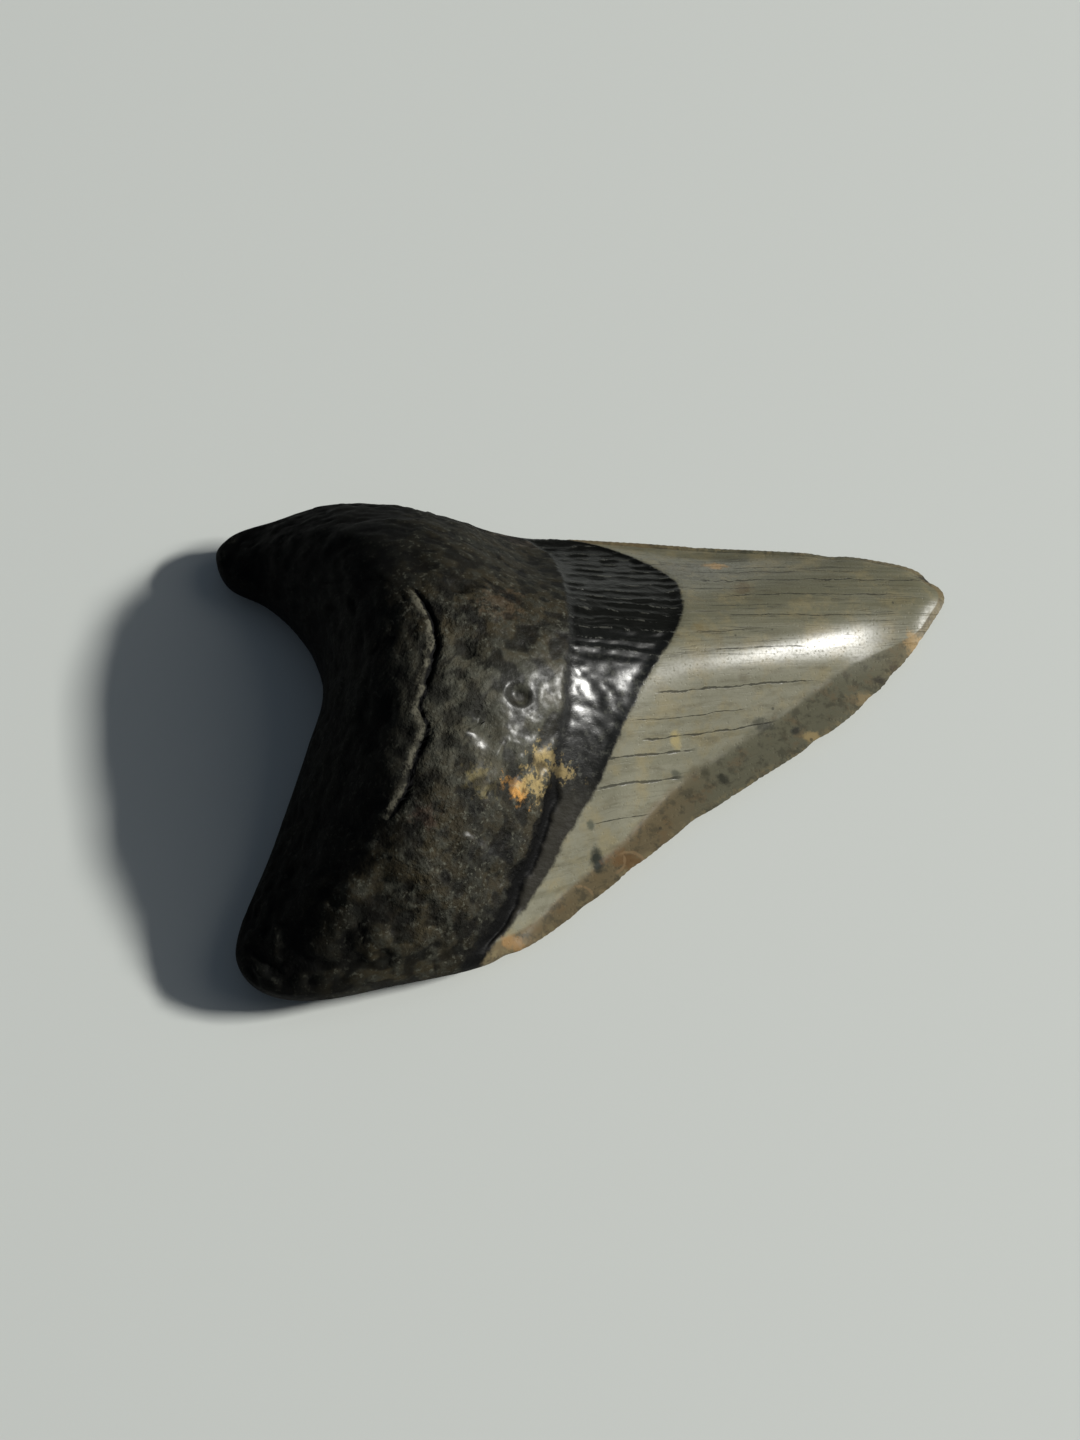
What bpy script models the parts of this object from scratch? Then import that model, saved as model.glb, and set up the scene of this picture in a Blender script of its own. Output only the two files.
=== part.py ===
"""A fossil megalodon tooth, one solid, lying on its labial face with the crown towards +X.

The tooth is two faces that meet along one closed outline. Each face starts as a square grid, is bent to
the outline, and is lifted by formulas of where a point is and how far it lies inside the rim. The lingual
face, on top, has the root's hump, its two lobes, the crack and hollows in the bone, the sunken neck, and
the crown with the flat band along its mesial edge. The labial face, below, is nearly flat and meets the
table at three low pads.
"""

import bmesh
import bpy
import numpy as np

NAME = "tooth"
COLLECTION = "megalodon_tooth"

# Sizes are in millimetres, and become metres where the mesh is made.
MM = 0.001

# The outline seen from above, anticlockwise from the crown's tip. +Y is the distal side.
CROWN_TIP = [(44.3, 22.2), (43.3, 24.5), (40.6, 26.3)]
DISTAL_EDGE = [(36.0, 27.3), (26.9, 28.2), (16.4, 28.8), (5.0, 29.7), (-5.3, 30.2)]
DISTAL_FLANK = [(-14.0, 29.9), (-23.0, 30.5), (-30.0, 31.1)]
DISTAL_LOBE = [(-36.0, 30.7), (-41.2, 29.8), (-43.8, 26.9), (-42.4, 22.7), (-37.5, 19.5)]
NOTCH = [(-33.6, 15.2), (-30.9, 10.3), (-29.9, 5.0), (-31.4, -1.0), (-33.3, -7.5), (-35.6, -15.0)]
MESIAL_LOBE = [(-38.1, -22.3), (-38.4, -26.4), (-36.5, -29.2), (-33.4, -30.6), (-29.0, -30.8)]
MESIAL_FLANK = [(-20.3, -29.0), (-13.0, -27.0), (-8.0, -24.9), (-3.0, -21.6)]
MESIAL_EDGE = [(4.0, -15.8), (12.0, -9.0), (20.0, -3.2), (28.0, 2.4), (34.5, 8.0), (39.2, 13.7), (42.4, 18.5)]
OUTLINE = (
    CROWN_TIP + DISTAL_EDGE + DISTAL_FLANK + DISTAL_LOBE + NOTCH + MESIAL_LOBE + MESIAL_FLANK + MESIAL_EDGE
)
RIM_POINTS = 1400

# Chips out of the cutting edge and the tip: X, Y, half width and depth of each bite.
CHIPS = [
    (42.9, 24.9, 1.2, 0.55),
    (36.9, 11.6, 1.4, 0.3),
    (34.4, 8.0, 1.6, 0.3),
    (27.7, 2.2, 1.4, 0.3),
    (13.2, -8.1, 1.8, 0.25),
    (5.9, -14.2, 1.5, 0.2),
    (0.4, -18.9, 1.4, 0.2),
    (-8.4, -25.1, 1.3, 0.3),
    (30.5, 27.8, 1.5, 0.3),
]

# A place in the root from which a straight ray meets the outline once, whichever way it points.
HEART = np.array([-10.0, 8.0])

# Each face is a square grid of this many cells a side. How far its rings are drawn to the rim round the root,
# where the sides are steep: 0 leaves them evenly apart, and 1 spaces them like the rings of a dome.
CELLS = 49
RINGS_TO_RIM = 0.9

# The height of the rim over the table: the root's flanks, the lobes' ends, the cutting edge and the tip.
RIM_FLANK = 6.2
RIM_LEAN = 0.055
RIM_LOBE_END = 4.0
LOBE_END_LEAN = -0.02
RIM_EDGE = 2.0
RIM_TIP = 1.2

# The root's hump is a bell across the tooth that loses part of its height along the lobes.
HUMP_TOP = 21.6
HUMP_FOOT = 11.0
HUMP_CENTRE = 8.5
HUMP_SPREAD_MESIAL = 27.0
HUMP_SPREAD_DISTAL = 16.0
LOBE_START_MESIAL = -18.8
LOBE_START_DISTAL = -22.0
LOBE_LENGTH = 18.0
LOBE_FALL_MESIAL = 0.65
LOBE_FALL_DISTAL = 0.56
ROOT_ROUNDING = 15.0

# The crown's ridge, as knots along X: its height and its place across the tooth.
RIDGE_X = [-30.0, -15.0, -11.0, -6.0, 0.0, 6.0, 14.0, 25.0, 36.0, 44.0]
RIDGE_HEIGHT = [22.0, 21.9, 21.4, 19.5, 16.6, 14.4, 11.6, 7.4, 3.7, 1.9]
RIDGE_ACROSS = [0.0, 2.0, 2.8, 4.2, 5.8, 6.9, 8.6, 14.2, 19.6, 22.6]

# The mesial cutting edge stands on a nearly flat band, whose width has knots along X. Past the band the
# crown rises steeply.
BAND_X = [-12.0, -6.0, 0.0, 4.0, 8.0, 14.0, 35.0, 40.0, 44.0]
BAND_WIDTH = [0.8, 1.8, 2.7, 2.8, 3.8, 4.7, 4.9, 3.9, 2.0]
BAND_SLOPE = 0.14
BAND_RISE = 1.05
BAND_BEND = 0.5
BAND_SOFTNESS = 0.8
BAND_REACH = 4.0

# The crown's sides. The distal side drops as a parabola, whose strength has knots along X. The mesial side
# bends over near the ridge, and then goes down at an even slope to the band.
SIDE_X = [-20.0, -8.0, 2.0, 14.0, 25.0, 44.0]
DISTAL_DROP = [0.012, 0.016, 0.026, 0.028, 0.031, 0.035]
MESIAL_SLOPE = 0.78
MESIAL_BEND = 6.0
BEVEL_SLOPE = 0.62
BEVEL_CURVE = 0.022
BEVEL_CRISPNESS = 5.0

# Where the root gives way to the crown, along X: the shape of the rim, the bodies, and the rounding.
LOBE_END_CHANGE = (-42.0, -27.0)
RIM_CHANGE = (-24.0, -5.0)
BODY_CHANGE = (-15.0, 2.0)
ROUNDING_CHANGE = (-20.0, -2.0)

# The neck between root and enamel, sunken below both: X of its two borders at knots along Y.
BORDER_Y = [-27.0, -22.7, -17.2, -11.2, -6.3, -1.0, 6.3, 10.9, 16.0, 20.1, 24.8, 28.5, 31.0]
ROOT_BORDER_X = [-13.0, -10.0, -7.3, -4.6, -3.4, -2.4, -1.5, -1.5, -1.9, -2.3, -3.2, -5.5, -9.5]
ENAMEL_BORDER_X = [-11.8, -8.3, -4.4, -0.9, 2.1, 4.6, 8.3, 10.8, 12.1, 11.7, 8.4, 3.4, -5.0]
NECK_DEPTH = 0.55
NECK_LEDGE = 0.9

# Hollows and swellings of the bone: X, Y, radius along X, radius along Y, height.
LUMPS = [
    (-7.0, 0.4, 2.0, 2.0, -0.9),
    (-12.3, 4.2, 1.6, 1.9, -0.6),
    (-13.7, 12.0, 1.3, 1.3, -0.9),
    (-10.4, -4.4, 1.7, 2.3, -0.9),
    (-13.2, -5.6, 1.4, 2.2, 0.5),
    (-9.6, -18.3, 2.6, 2.0, -0.8),
    (-12.6, -15.4, 2.4, 1.6, 0.5),
    (-21.0, -22.0, 3.2, 2.8, -0.7),
    (-30.0, -23.0, 4.5, 3.6, 0.7),
    (-25.5, 22.5, 3.0, 2.6, 0.5),
    (-40.0, 26.0, 4.0, 4.0, -1.0),
    (-22.5, -3.0, 2.4, 4.0, -0.6),
    (-18.5, 18.0, 2.6, 3.0, -0.5),
    (-6.5, 16.5, 2.5, 3.5, 0.4),
]

# The long crack over the hump: X at knots along Y, its width and depth, and the lip on its notch side.
CRACK_Y = [-15.5, -11.5, -7.7, -2.4, 2.1, 5.4, 7.4, 11.0]
CRACK_X = [-20.6, -18.6, -17.9, -17.6, -16.7, -16.6, -17.2, -18.8]
CRACK_WIDTH = 1.0
CRACK_DEPTH = 0.9
LIP_WIDTH = 1.6
LIP_HEIGHT = 0.35

# The labial face: a shallow vault on three pads that meet the table. Each pad is X, Y, radius, drop.
VAULT = 0.9
PADS = [(-33.0, 22.5, 7.0, 1.4), (-30.5, -24.0, 8.0, 1.4), (20.0, 14.0, 9.0, 1.2)]
NOTCH_ARCH = (-24.0, 1.0, 8.0, 10.0, 0.5)
LABIAL_ROUNDING = 6.0
LABIAL_BEVEL = 0.42
LABIAL_CRISPNESS = 5.0

# The bone is near black and the enamel grey; one colour stands for both.
COLOUR = (0.075, 0.072, 0.060, 1.0)
ROUGHNESS = 0.42


def smooth(value, low, high):
    """0 below low, 1 above high, and a smooth step between."""
    t = np.clip((value - low) / (high - low), 0.0, 1.0)
    return t * t * (3.0 - 2.0 * t)


def through_knots(at, knots, values):
    """A smooth curve through the knots that never overshoots them (monotone cubic)."""
    knots, values = np.array(knots), np.array(values)
    width = np.diff(knots)
    slope = np.diff(values) / width
    left, right = slope[:-1], slope[1:]
    turns = left * right <= 0
    near, far = 2 * width[1:] + width[:-1], width[1:] + 2 * width[:-1]
    mean = (near + far) / (near / np.where(turns, 1, left) + far / np.where(turns, 1, right))
    lean = np.r_[slope[0], np.where(turns, 0, mean), slope[-1]]
    i = np.clip(np.searchsorted(knots, at) - 1, 0, len(width) - 1)
    t = np.clip((at - knots[i]) / width[i], 0, 1)
    level = (1 + 2 * t) * (1 - t) ** 2 * values[i] + t * t * (3 - 2 * t) * values[i + 1]
    return level + width[i] * (t * (1 - t) ** 2 * lean[i] + t * t * (t - 1) * lean[i + 1])


def closed_curve(points, steps=60):
    """A closed centripetal Catmull-Rom curve through the points."""
    b = np.array(points)
    a, c, d = np.roll(b, 1, 0), np.roll(b, -1, 0), np.roll(b, -2, 0)
    tb = np.sqrt(np.linalg.norm(b - a, axis=1))
    tc = tb + np.sqrt(np.linalg.norm(c - b, axis=1))
    td = tc + np.sqrt(np.linalg.norm(d - c, axis=1))
    t = (tb[:, None] + (tc - tb)[:, None] * np.linspace(0, 1, steps, endpoint=False))[..., None]
    tb, tc, td = (k[:, None, None] for k in (tb, tc, td))
    a, b, c, d = (k[:, None, :] for k in (a, b, c, d))
    ab = a + (b - a) * t / tb
    bc = b + (c - b) * (t - tb) / (tc - tb)
    cd = c + (d - c) * (t - tc) / (td - tc)
    abc = ab + (bc - ab) * t / tc
    bcd = bc + (cd - bc) * (t - tb) / (td - tb)
    return (abc + (bcd - abc) * (t - tb) / (tc - tb)).reshape(-1, 2)


def evenly_spaced(curve, count):
    """The closed curve as count points the same distance apart."""
    closed = np.vstack([curve, curve[:1]])
    along = np.r_[0, np.cumsum(np.linalg.norm(np.diff(closed, axis=0), axis=1))]
    at = np.linspace(0, along[-1], count, endpoint=False)
    return np.stack([np.interp(at, along, closed[:, 0]), np.interp(at, along, closed[:, 1])], 1)


def chipped(rim):
    """The outline with each chip bitten out of it, straight inwards."""
    ahead = np.roll(rim, -1, 0) - np.roll(rim, 1, 0)
    inwards = np.stack([-ahead[:, 1], ahead[:, 0]], 1) / np.linalg.norm(ahead, axis=1)[:, None]
    bite = np.zeros(len(rim))
    for x, y, half_width, depth in CHIPS:
        bite += depth * np.exp(-((rim - (x, y)) ** 2).sum(1) / half_width ** 2)
    return rim + inwards * bite[:, None]


def bend_to_outline(u, v, rim):
    """Bend the square from -1 to 1 into a disc, then stretch each radius until it ends on the rim.

    On the root the rings lie closer near the rim, where the sides are steep.
    """
    across = u * np.sqrt(1 - v * v / 2)
    up = v * np.sqrt(1 - u * u / 2)
    turn = (np.arctan2(up, across) / (2 * np.pi)) % 1 * len(rim)
    closed = np.vstack([rim, rim[:1]])
    count = np.arange(len(closed))
    end = np.stack([np.interp(turn, count, closed[:, 0]), np.interp(turn, count, closed[:, 1])], -1)
    reach = np.hypot(across, up)
    on_root = 1 - smooth(end[:, 0], *ROUNDING_CHANGE)
    reach = reach + (np.sin(reach * np.pi / 2) - reach) * on_root * RINGS_TO_RIM
    return HEART + reach[:, None] * (end - HEART)


def distance_inside(place, rim):
    """Distance to the rim, made smooth: the rim's pieces are summed as length / distance ** 5.

    Beside a long straight rim that sum is 4/3 of 1 / distance ** 4, so its fourth root gives the distance.
    """
    closed = np.vstack([rim, rim[:1]])
    length = np.linalg.norm(np.diff(closed, axis=0), axis=1)
    middle = (closed[1:] + closed[:-1]) / 2
    gap = ((place[:, None] - middle) ** 2).sum(-1) + 1e-6
    return ((length * gap ** -2.5).sum(1) * 3 / 4) ** -0.25


def rim_height(x, y):
    """Highest beside the root's hump, lower at the lobes' ends, and thin along the crown."""
    flank = RIM_FLANK + RIM_LEAN * y
    lobe_end = RIM_LOBE_END + LOBE_END_LEAN * y
    root = lobe_end + (flank - lobe_end) * smooth(x, *LOBE_END_CHANGE)
    edge = RIM_EDGE + (RIM_TIP - RIM_EDGE) * smooth(x, 30, 44)
    return root + (edge - root) * smooth(x, *RIM_CHANGE)


def hump(x, y, rim):
    """The root's body over the table: a bell across the tooth, falling away along each lobe."""
    spread = np.where(y < HUMP_CENTRE, HUMP_SPREAD_MESIAL, HUMP_SPREAD_DISTAL)
    bell = HUMP_FOOT + (HUMP_TOP - HUMP_FOOT) * np.exp(-0.5 * ((y - HUMP_CENTRE) / spread) ** 2)
    distal = smooth(y, -15, 10)
    start = LOBE_START_MESIAL + (LOBE_START_DISTAL - LOBE_START_MESIAL) * distal
    fall = LOBE_FALL_MESIAL + (LOBE_FALL_DISTAL - LOBE_FALL_MESIAL) * distal
    return rim + (bell - rim) * (1 - fall * smooth(start - x, 0, LOBE_LENGTH))


def crown(x, y):
    """The crown's body over the table: a ridge that sinks to the tip, and drops away to each side."""
    side = y - through_knots(x, RIDGE_X, RIDGE_ACROSS)
    distal = through_knots(x, SIDE_X, DISTAL_DROP) * side ** 2
    mesial = MESIAL_SLOPE * (np.hypot(side, MESIAL_BEND) - MESIAL_BEND)
    return through_knots(x, RIDGE_X, RIDGE_HEIGHT) - np.where(side > 0, distal, mesial)


def relief(x, y, inset):
    """What stands up from or sinks into the lingual face: lumps, hollows, the crack and the neck."""
    height = np.zeros_like(x)
    for lump_x, lump_y, wide, long, rise in LUMPS:
        height += rise * np.exp(-((x - lump_x) / wide) ** 2 - ((y - lump_y) / long) ** 2)
    off = x - through_knots(y, CRACK_Y, CRACK_X)
    length = smooth(y, CRACK_Y[0] - 1, CRACK_Y[0] + 2) * (1 - smooth(y, CRACK_Y[-1] - 2, CRACK_Y[-1] + 1))
    height -= CRACK_DEPTH * length * np.exp(-(off / CRACK_WIDTH) ** 2)
    height += LIP_HEIGHT * length * np.exp(-((off + LIP_WIDTH) / CRACK_WIDTH) ** 2)
    past_root = x - through_knots(y, BORDER_Y, ROOT_BORDER_X)
    past_enamel = x - through_knots(y, BORDER_Y, ENAMEL_BORDER_X)
    sunken = smooth(past_root, 0, NECK_LEDGE) * (1 - smooth(past_enamel, -NECK_LEDGE / 2, NECK_LEDGE / 2))
    height -= NECK_DEPTH * sunken
    return height * smooth(inset, 0, 2)


def edge_height(x, y, inset):
    """How far the crown may stand over its rim: by the distal bevel, or by the mesial band and the rise past it."""
    past_band = inset - through_knots(x, BAND_X, BAND_WIDTH)
    band = BAND_SLOPE * inset + BAND_RISE * (past_band + np.hypot(past_band, BAND_BEND)) / 2
    distal = BEVEL_SLOPE * inset + BEVEL_CURVE * inset ** 2
    growth_line = (y - 0.315 * x) / (1 - 0.0108 * x)
    height = band + (distal - band) * smooth(growth_line, 0, 9)
    return np.maximum(height, 1e-6)


def lingual_height(x, y, inset):
    """The upper face: the root rises from the rim as a quarter ellipse, the crown as a bevel or a band."""
    rim = rim_height(x, y)
    to_crown = smooth(x, *BODY_CHANGE)
    body = hump(x, y, rim) * (1 - to_crown) + crown(x, y) * to_crown - rim
    band = BAND_SLOPE * np.minimum(inset, BAND_REACH)
    body = (body + band + np.hypot(body - band, BAND_SOFTNESS)) / 2
    turned = 1 - np.clip(inset / ROOT_ROUNDING, 0, 1)
    ellipse = body * np.sqrt(1 - turned ** 2)
    edge = edge_height(x, y, inset)
    bevel = (edge ** -BEVEL_CRISPNESS + body ** -BEVEL_CRISPNESS) ** (-1 / BEVEL_CRISPNESS)
    rise = ellipse + (bevel - ellipse) * smooth(x, *ROUNDING_CHANGE)
    return rim + rise + relief(x, y, inset)


def labial_height(x, y, inset):
    """The lower face: rounded under the root, bevelled under the crown, and flat where it meets the table."""
    rim = rim_height(x, y)
    arch_x, arch_y, wide, long, rise = NOTCH_ARCH
    vault = VAULT + rise * np.exp(-((x - arch_x) / wide) ** 2 - ((y - arch_y) / long) ** 2)
    for pad_x, pad_y, radius, drop in PADS:
        vault = vault - drop * np.exp(-((x - pad_x) ** 2 + (y - pad_y) ** 2) / radius ** 2)
    depth = np.maximum(rim - np.maximum(vault, 0), 0.05)
    turned = 1 - np.clip(inset / LABIAL_ROUNDING, 0, 1)
    ellipse = depth * np.sqrt(1 - turned ** 2)
    slope = np.maximum(LABIAL_BEVEL * inset, 1e-6)
    bevel = (slope ** -LABIAL_CRISPNESS + depth ** -LABIAL_CRISPNESS) ** (-1 / LABIAL_CRISPNESS)
    return np.maximum(rim - ellipse - (bevel - ellipse) * smooth(x, *ROUNDING_CHANGE), 0)


def add_face(bm, rim, height):
    """One face of the tooth: a flat grid bent to the outline and lifted to its height."""
    grid = bmesh.ops.create_grid(bm, x_segments=CELLS, y_segments=CELLS, size=1)["verts"]
    square = np.array([vert.co.xy for vert in grid]).clip(-1, 1)
    place = bend_to_outline(square[:, 0], square[:, 1], rim)
    x, y = place.T
    on_rim = np.abs(square).max(axis=1) > 1 - 1e-6
    inset = np.where(on_rim, 0, distance_inside(place, rim))
    z = np.where(on_rim, rim_height(x, y), height(x, y, inset))
    for vert, spot in zip(grid, np.stack([x, y, z], 1) * MM):
        vert.co = spot
    return grid


def make_tooth():
    """Both faces, welded along the rim into one closed solid."""
    rim = chipped(evenly_spaced(closed_curve(OUTLINE), RIM_POINTS))
    bm = bmesh.new()
    add_face(bm, rim, lingual_height)
    add_face(bm, rim, labial_height)
    bmesh.ops.remove_doubles(bm, verts=bm.verts, dist=0.01 * MM)
    bmesh.ops.recalc_face_normals(bm, faces=bm.faces)
    mesh = bpy.data.meshes.new(NAME)
    bm.to_mesh(mesh)
    bm.free()
    mesh.shade_smooth()
    mesh.set_sharp_from_angle(angle=np.radians(50))
    return mesh


def fossil_material():
    """Mineralised bone and enamel, dark and half glossy."""
    material = bpy.data.materials.new("fossil_tooth")
    material.use_nodes = True
    shader = material.node_tree.nodes["Principled BSDF"]
    shader.inputs["Base Color"].default_value = COLOUR
    shader.inputs["Roughness"].default_value = ROUGHNESS
    shader.inputs["Metallic"].default_value = 0.0
    return material


for old in list(bpy.data.objects):
    bpy.data.objects.remove(old, do_unlink=True)
collection = bpy.data.collections.new(COLLECTION)
bpy.context.scene.collection.children.link(collection)
tooth = bpy.data.objects.new(NAME, make_tooth())
tooth.data.materials.append(fossil_material())
collection.objects.link(tooth)
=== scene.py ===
import math

import bpy
import numpy as np
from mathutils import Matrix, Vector


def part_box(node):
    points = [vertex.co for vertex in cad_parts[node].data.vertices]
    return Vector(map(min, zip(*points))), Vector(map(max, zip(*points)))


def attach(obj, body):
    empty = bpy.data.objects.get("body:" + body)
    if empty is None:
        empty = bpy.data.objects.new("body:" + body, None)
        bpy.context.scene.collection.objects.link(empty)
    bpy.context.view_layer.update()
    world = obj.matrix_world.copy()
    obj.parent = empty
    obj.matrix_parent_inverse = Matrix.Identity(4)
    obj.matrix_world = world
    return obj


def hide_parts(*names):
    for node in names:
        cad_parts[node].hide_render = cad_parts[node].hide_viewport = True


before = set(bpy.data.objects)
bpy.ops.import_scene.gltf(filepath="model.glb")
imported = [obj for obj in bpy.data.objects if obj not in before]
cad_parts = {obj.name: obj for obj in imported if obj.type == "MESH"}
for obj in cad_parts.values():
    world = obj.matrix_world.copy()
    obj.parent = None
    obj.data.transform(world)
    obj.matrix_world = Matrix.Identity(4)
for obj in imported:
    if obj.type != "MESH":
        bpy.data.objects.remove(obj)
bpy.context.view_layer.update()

# ----------------------------------------
# The tooth. One fossil shark tooth, turned to stone and grown in one piece: a black spongy root with
# two lobes, a neck of thin ribbed enamel, and a grey crown whose cutting edges are worn and chipped.
# Nothing holds it. It lies on its labial face, with the root's hump up.
# ----------------------------------------

# Sizes are in millimetres, and become metres where the mesh is made.
MM = 0.001

# The outline seen from above, anticlockwise from the crown's tip. +Y is the distal side.
CROWN_TIP = [(44.3, 22.2), (43.3, 24.5), (40.6, 26.3)]
DISTAL_EDGE = [(36.0, 27.3), (26.9, 28.2), (16.4, 28.8), (5.0, 29.7), (-5.3, 30.2)]
DISTAL_FLANK = [(-14.0, 29.9), (-23.0, 30.5), (-30.0, 31.1)]
DISTAL_LOBE = [(-36.0, 30.7), (-41.2, 29.8), (-43.8, 26.9), (-42.4, 22.7), (-37.5, 19.5)]
NOTCH = [(-33.6, 15.2), (-30.9, 10.3), (-29.9, 5.0), (-31.4, -1.0), (-33.3, -7.5), (-35.6, -15.0)]
MESIAL_LOBE = [(-38.1, -22.3), (-38.4, -26.4), (-36.5, -29.2), (-33.4, -30.6), (-29.0, -30.8)]
MESIAL_FLANK = [(-20.3, -29.0), (-13.0, -27.0), (-8.0, -24.9), (-3.0, -21.6)]
MESIAL_EDGE = [(4.0, -15.8), (12.0, -9.0), (20.0, -3.2), (28.0, 2.4), (34.5, 8.0), (39.2, 13.7), (42.4, 18.5)]
OUTLINE = (
    CROWN_TIP + DISTAL_EDGE + DISTAL_FLANK + DISTAL_LOBE + NOTCH + MESIAL_LOBE + MESIAL_FLANK + MESIAL_EDGE
)

# Chips out of the cutting edge and the tip: X, Y, half width and depth of each bite.
CHIPS = [
    (42.9, 24.9, 1.2, 0.55),
    (36.9, 11.6, 1.4, 0.3),
    (34.4, 8.0, 1.6, 0.3),
    (27.7, 2.2, 1.4, 0.3),
    (13.2, -8.1, 1.8, 0.25),
    (5.9, -14.2, 1.5, 0.2),
    (0.4, -18.9, 1.4, 0.2),
    (-8.4, -25.1, 1.3, 0.3),
    (30.5, 27.8, 1.5, 0.3),
]

# The worn teeth of the cutting edge, where it begins along X, and how far the root's edge wanders.
SERRATION_PITCH = 0.82
SERRATION_DEPTH = 0.08
EDGE_START = (-9.0, -4.0)
ROOT_WANDER = 0.22

# The rim has this many points, closer together along the crown; distances from it need fewer. Noise
# starts again after LATTICE cells.
RIM_POINTS = 5000
RIM_CLOSER = 0.5
CLOSER_START = (-14.0, -6.0)
PLAIN_RIM_POINTS = 1400
LATTICE = 32


def smooth(value, low, high):
    """0 below low, 1 above high, and the cubic 3t^2 - 2t^3 between."""
    t = np.clip((value - low) / (high - low), 0.0, 1.0)
    return t * t * (3.0 - 2.0 * t)


def blend(a, b, share):
    """From a to b: a + (b - a) * share."""
    return a + (b - a) * share


def through_knots(at, knots, values):
    """A cubic from knot to knot. Its slope at a knot is the harmonic mean of both sides', or 0 at a turn."""
    knots, values = np.array(knots), np.array(values)
    width = np.diff(knots)
    slope = np.diff(values) / width
    left, right = slope[:-1], slope[1:]
    turns = left * right <= 0
    near, far = 2 * width[1:] + width[:-1], width[1:] + 2 * width[:-1]
    mean = (near + far) / (near / np.where(turns, 1, left) + far / np.where(turns, 1, right))
    lean = np.r_[slope[0], np.where(turns, 0, mean), slope[-1]]
    i = np.clip(np.searchsorted(knots, at) - 1, 0, len(width) - 1)
    t = np.clip((at - knots[i]) / width[i], 0, 1)
    level = (1 + 2 * t) * (1 - t) ** 2 * values[i] + t * t * (3 - 2 * t) * values[i + 1]
    return level + width[i] * (t * (1 - t) ** 2 * lean[i] + t * t * (t - 1) * lean[i + 1])


def noise(place, size, seed):
    """Noise from -1 to 1: random numbers on a lattice, size apart, blended by 3t^2 - 2t^3 on each axis."""
    lattice = np.random.default_rng(seed).uniform(-1, 1, (LATTICE, LATTICE, LATTICE))
    cell = place / size
    low = np.floor(cell).astype(int)
    part = smooth(cell - low, 0, 1)
    total = np.zeros(place.shape[:-1])
    for corner in np.ndindex(2, 2, 2):
        at = (low + corner) % LATTICE
        total += np.where(corner, part, 1 - part).prod(-1) * lattice[at[..., 0], at[..., 1], at[..., 2]]
    return total


def flat_noise(x, y, size, seed):
    """The same noise over the plan, where its height above the table doesn't count."""
    return noise(np.stack([x, y, np.zeros_like(x)], -1), size, seed)


def closed_curve(points, steps=160):
    """A closed centripetal Catmull-Rom curve: each stretch blends the lines through four points in a row."""
    b = np.array(points)
    a, c, d = np.roll(b, 1, 0), np.roll(b, -1, 0), np.roll(b, -2, 0)
    tb = np.sqrt(np.linalg.norm(b - a, axis=1))
    tc = tb + np.sqrt(np.linalg.norm(c - b, axis=1))
    td = tc + np.sqrt(np.linalg.norm(d - c, axis=1))
    t = (tb[:, None] + (tc - tb)[:, None] * np.linspace(0, 1, steps, endpoint=False))[..., None]
    tb, tc, td = (k[:, None, None] for k in (tb, tc, td))
    a, b, c, d = (k[:, None, :] for k in (a, b, c, d))
    ab = a + (b - a) * t / tb
    bc = b + (c - b) * (t - tb) / (tc - tb)
    cd = c + (d - c) * (t - tc) / (td - tc)
    abc = ab + (bc - ab) * t / tc
    bcd = bc + (cd - bc) * (t - tb) / (td - tb)
    return (abc + (bcd - abc) * (t - tb) / (tc - tb)).reshape(-1, 2)


def between(at, knots, points):
    """Places on straight lines from point to point, by each point's own number."""
    return np.stack([np.interp(at, knots, points[:, axis]) for axis in (0, 1)], -1)


def respaced(curve, count, closer=0.0):
    """The closed curve as count points, evenly apart, but closer along the crown by the share 1 + closer."""
    closed = np.vstack([curve, curve[:1]])
    stretch = np.linalg.norm(np.diff(closed, axis=0), axis=1)
    weight = stretch * (1 + closer * smooth(curve[:, 0], *CLOSER_START))
    along = np.r_[0, np.cumsum(weight)]
    return between(np.linspace(0, along[-1], count, endpoint=False), along, closed)


def bitten(rim, bite):
    """The outline moved inwards, square to itself, by the bite at each point."""
    ahead = np.roll(rim, -1, 0) - np.roll(rim, 1, 0)
    inwards = np.stack([-ahead[:, 1], ahead[:, 0]], 1) / np.linalg.norm(ahead, axis=1)[:, None]
    return rim + inwards * bite[:, None]


def chip_bite(rim):
    """The sum of the chips, each a bell: depth * exp(-(distance / half width)^2)."""
    bite = np.zeros(len(rim))
    for x, y, half_width, depth in CHIPS:
        bite += depth * np.exp(-((rim - (x, y)) ** 2).sum(1) / half_width ** 2)
    return bite


def wear_bite(rim):
    """Along the crown a cosine comb that noise wears down, with small nicks; along the root two noises."""
    x, y = rim.T
    along = np.r_[0, np.cumsum(np.linalg.norm(np.diff(rim, axis=0), axis=1))]
    on_crown = smooth(x, *EDGE_START)
    comb = 0.5 - 0.5 * np.cos(2 * np.pi * along / SERRATION_PITCH)
    left = 0.55 + 0.45 * flat_noise(x, y, 2.7, 11)
    nicks = np.maximum(flat_noise(x, y, 0.8, 12) - 0.45, 0) * 0.25
    wander = 0.5 + 0.35 * flat_noise(x, y, 3.4, 13) + 0.15 * flat_noise(x, y, 1.3, 14)
    return on_crown * (SERRATION_DEPTH * comb * left + nicks) + (1 - on_crown) * ROOT_WANDER * wander


curve = respaced(closed_curve(OUTLINE), RIM_POINTS, RIM_CLOSER)
chipped = bitten(curve, chip_bite(curve))
rim = bitten(chipped, wear_bite(chipped))
plain_rim = respaced(chipped, PLAIN_RIM_POINTS)

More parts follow.
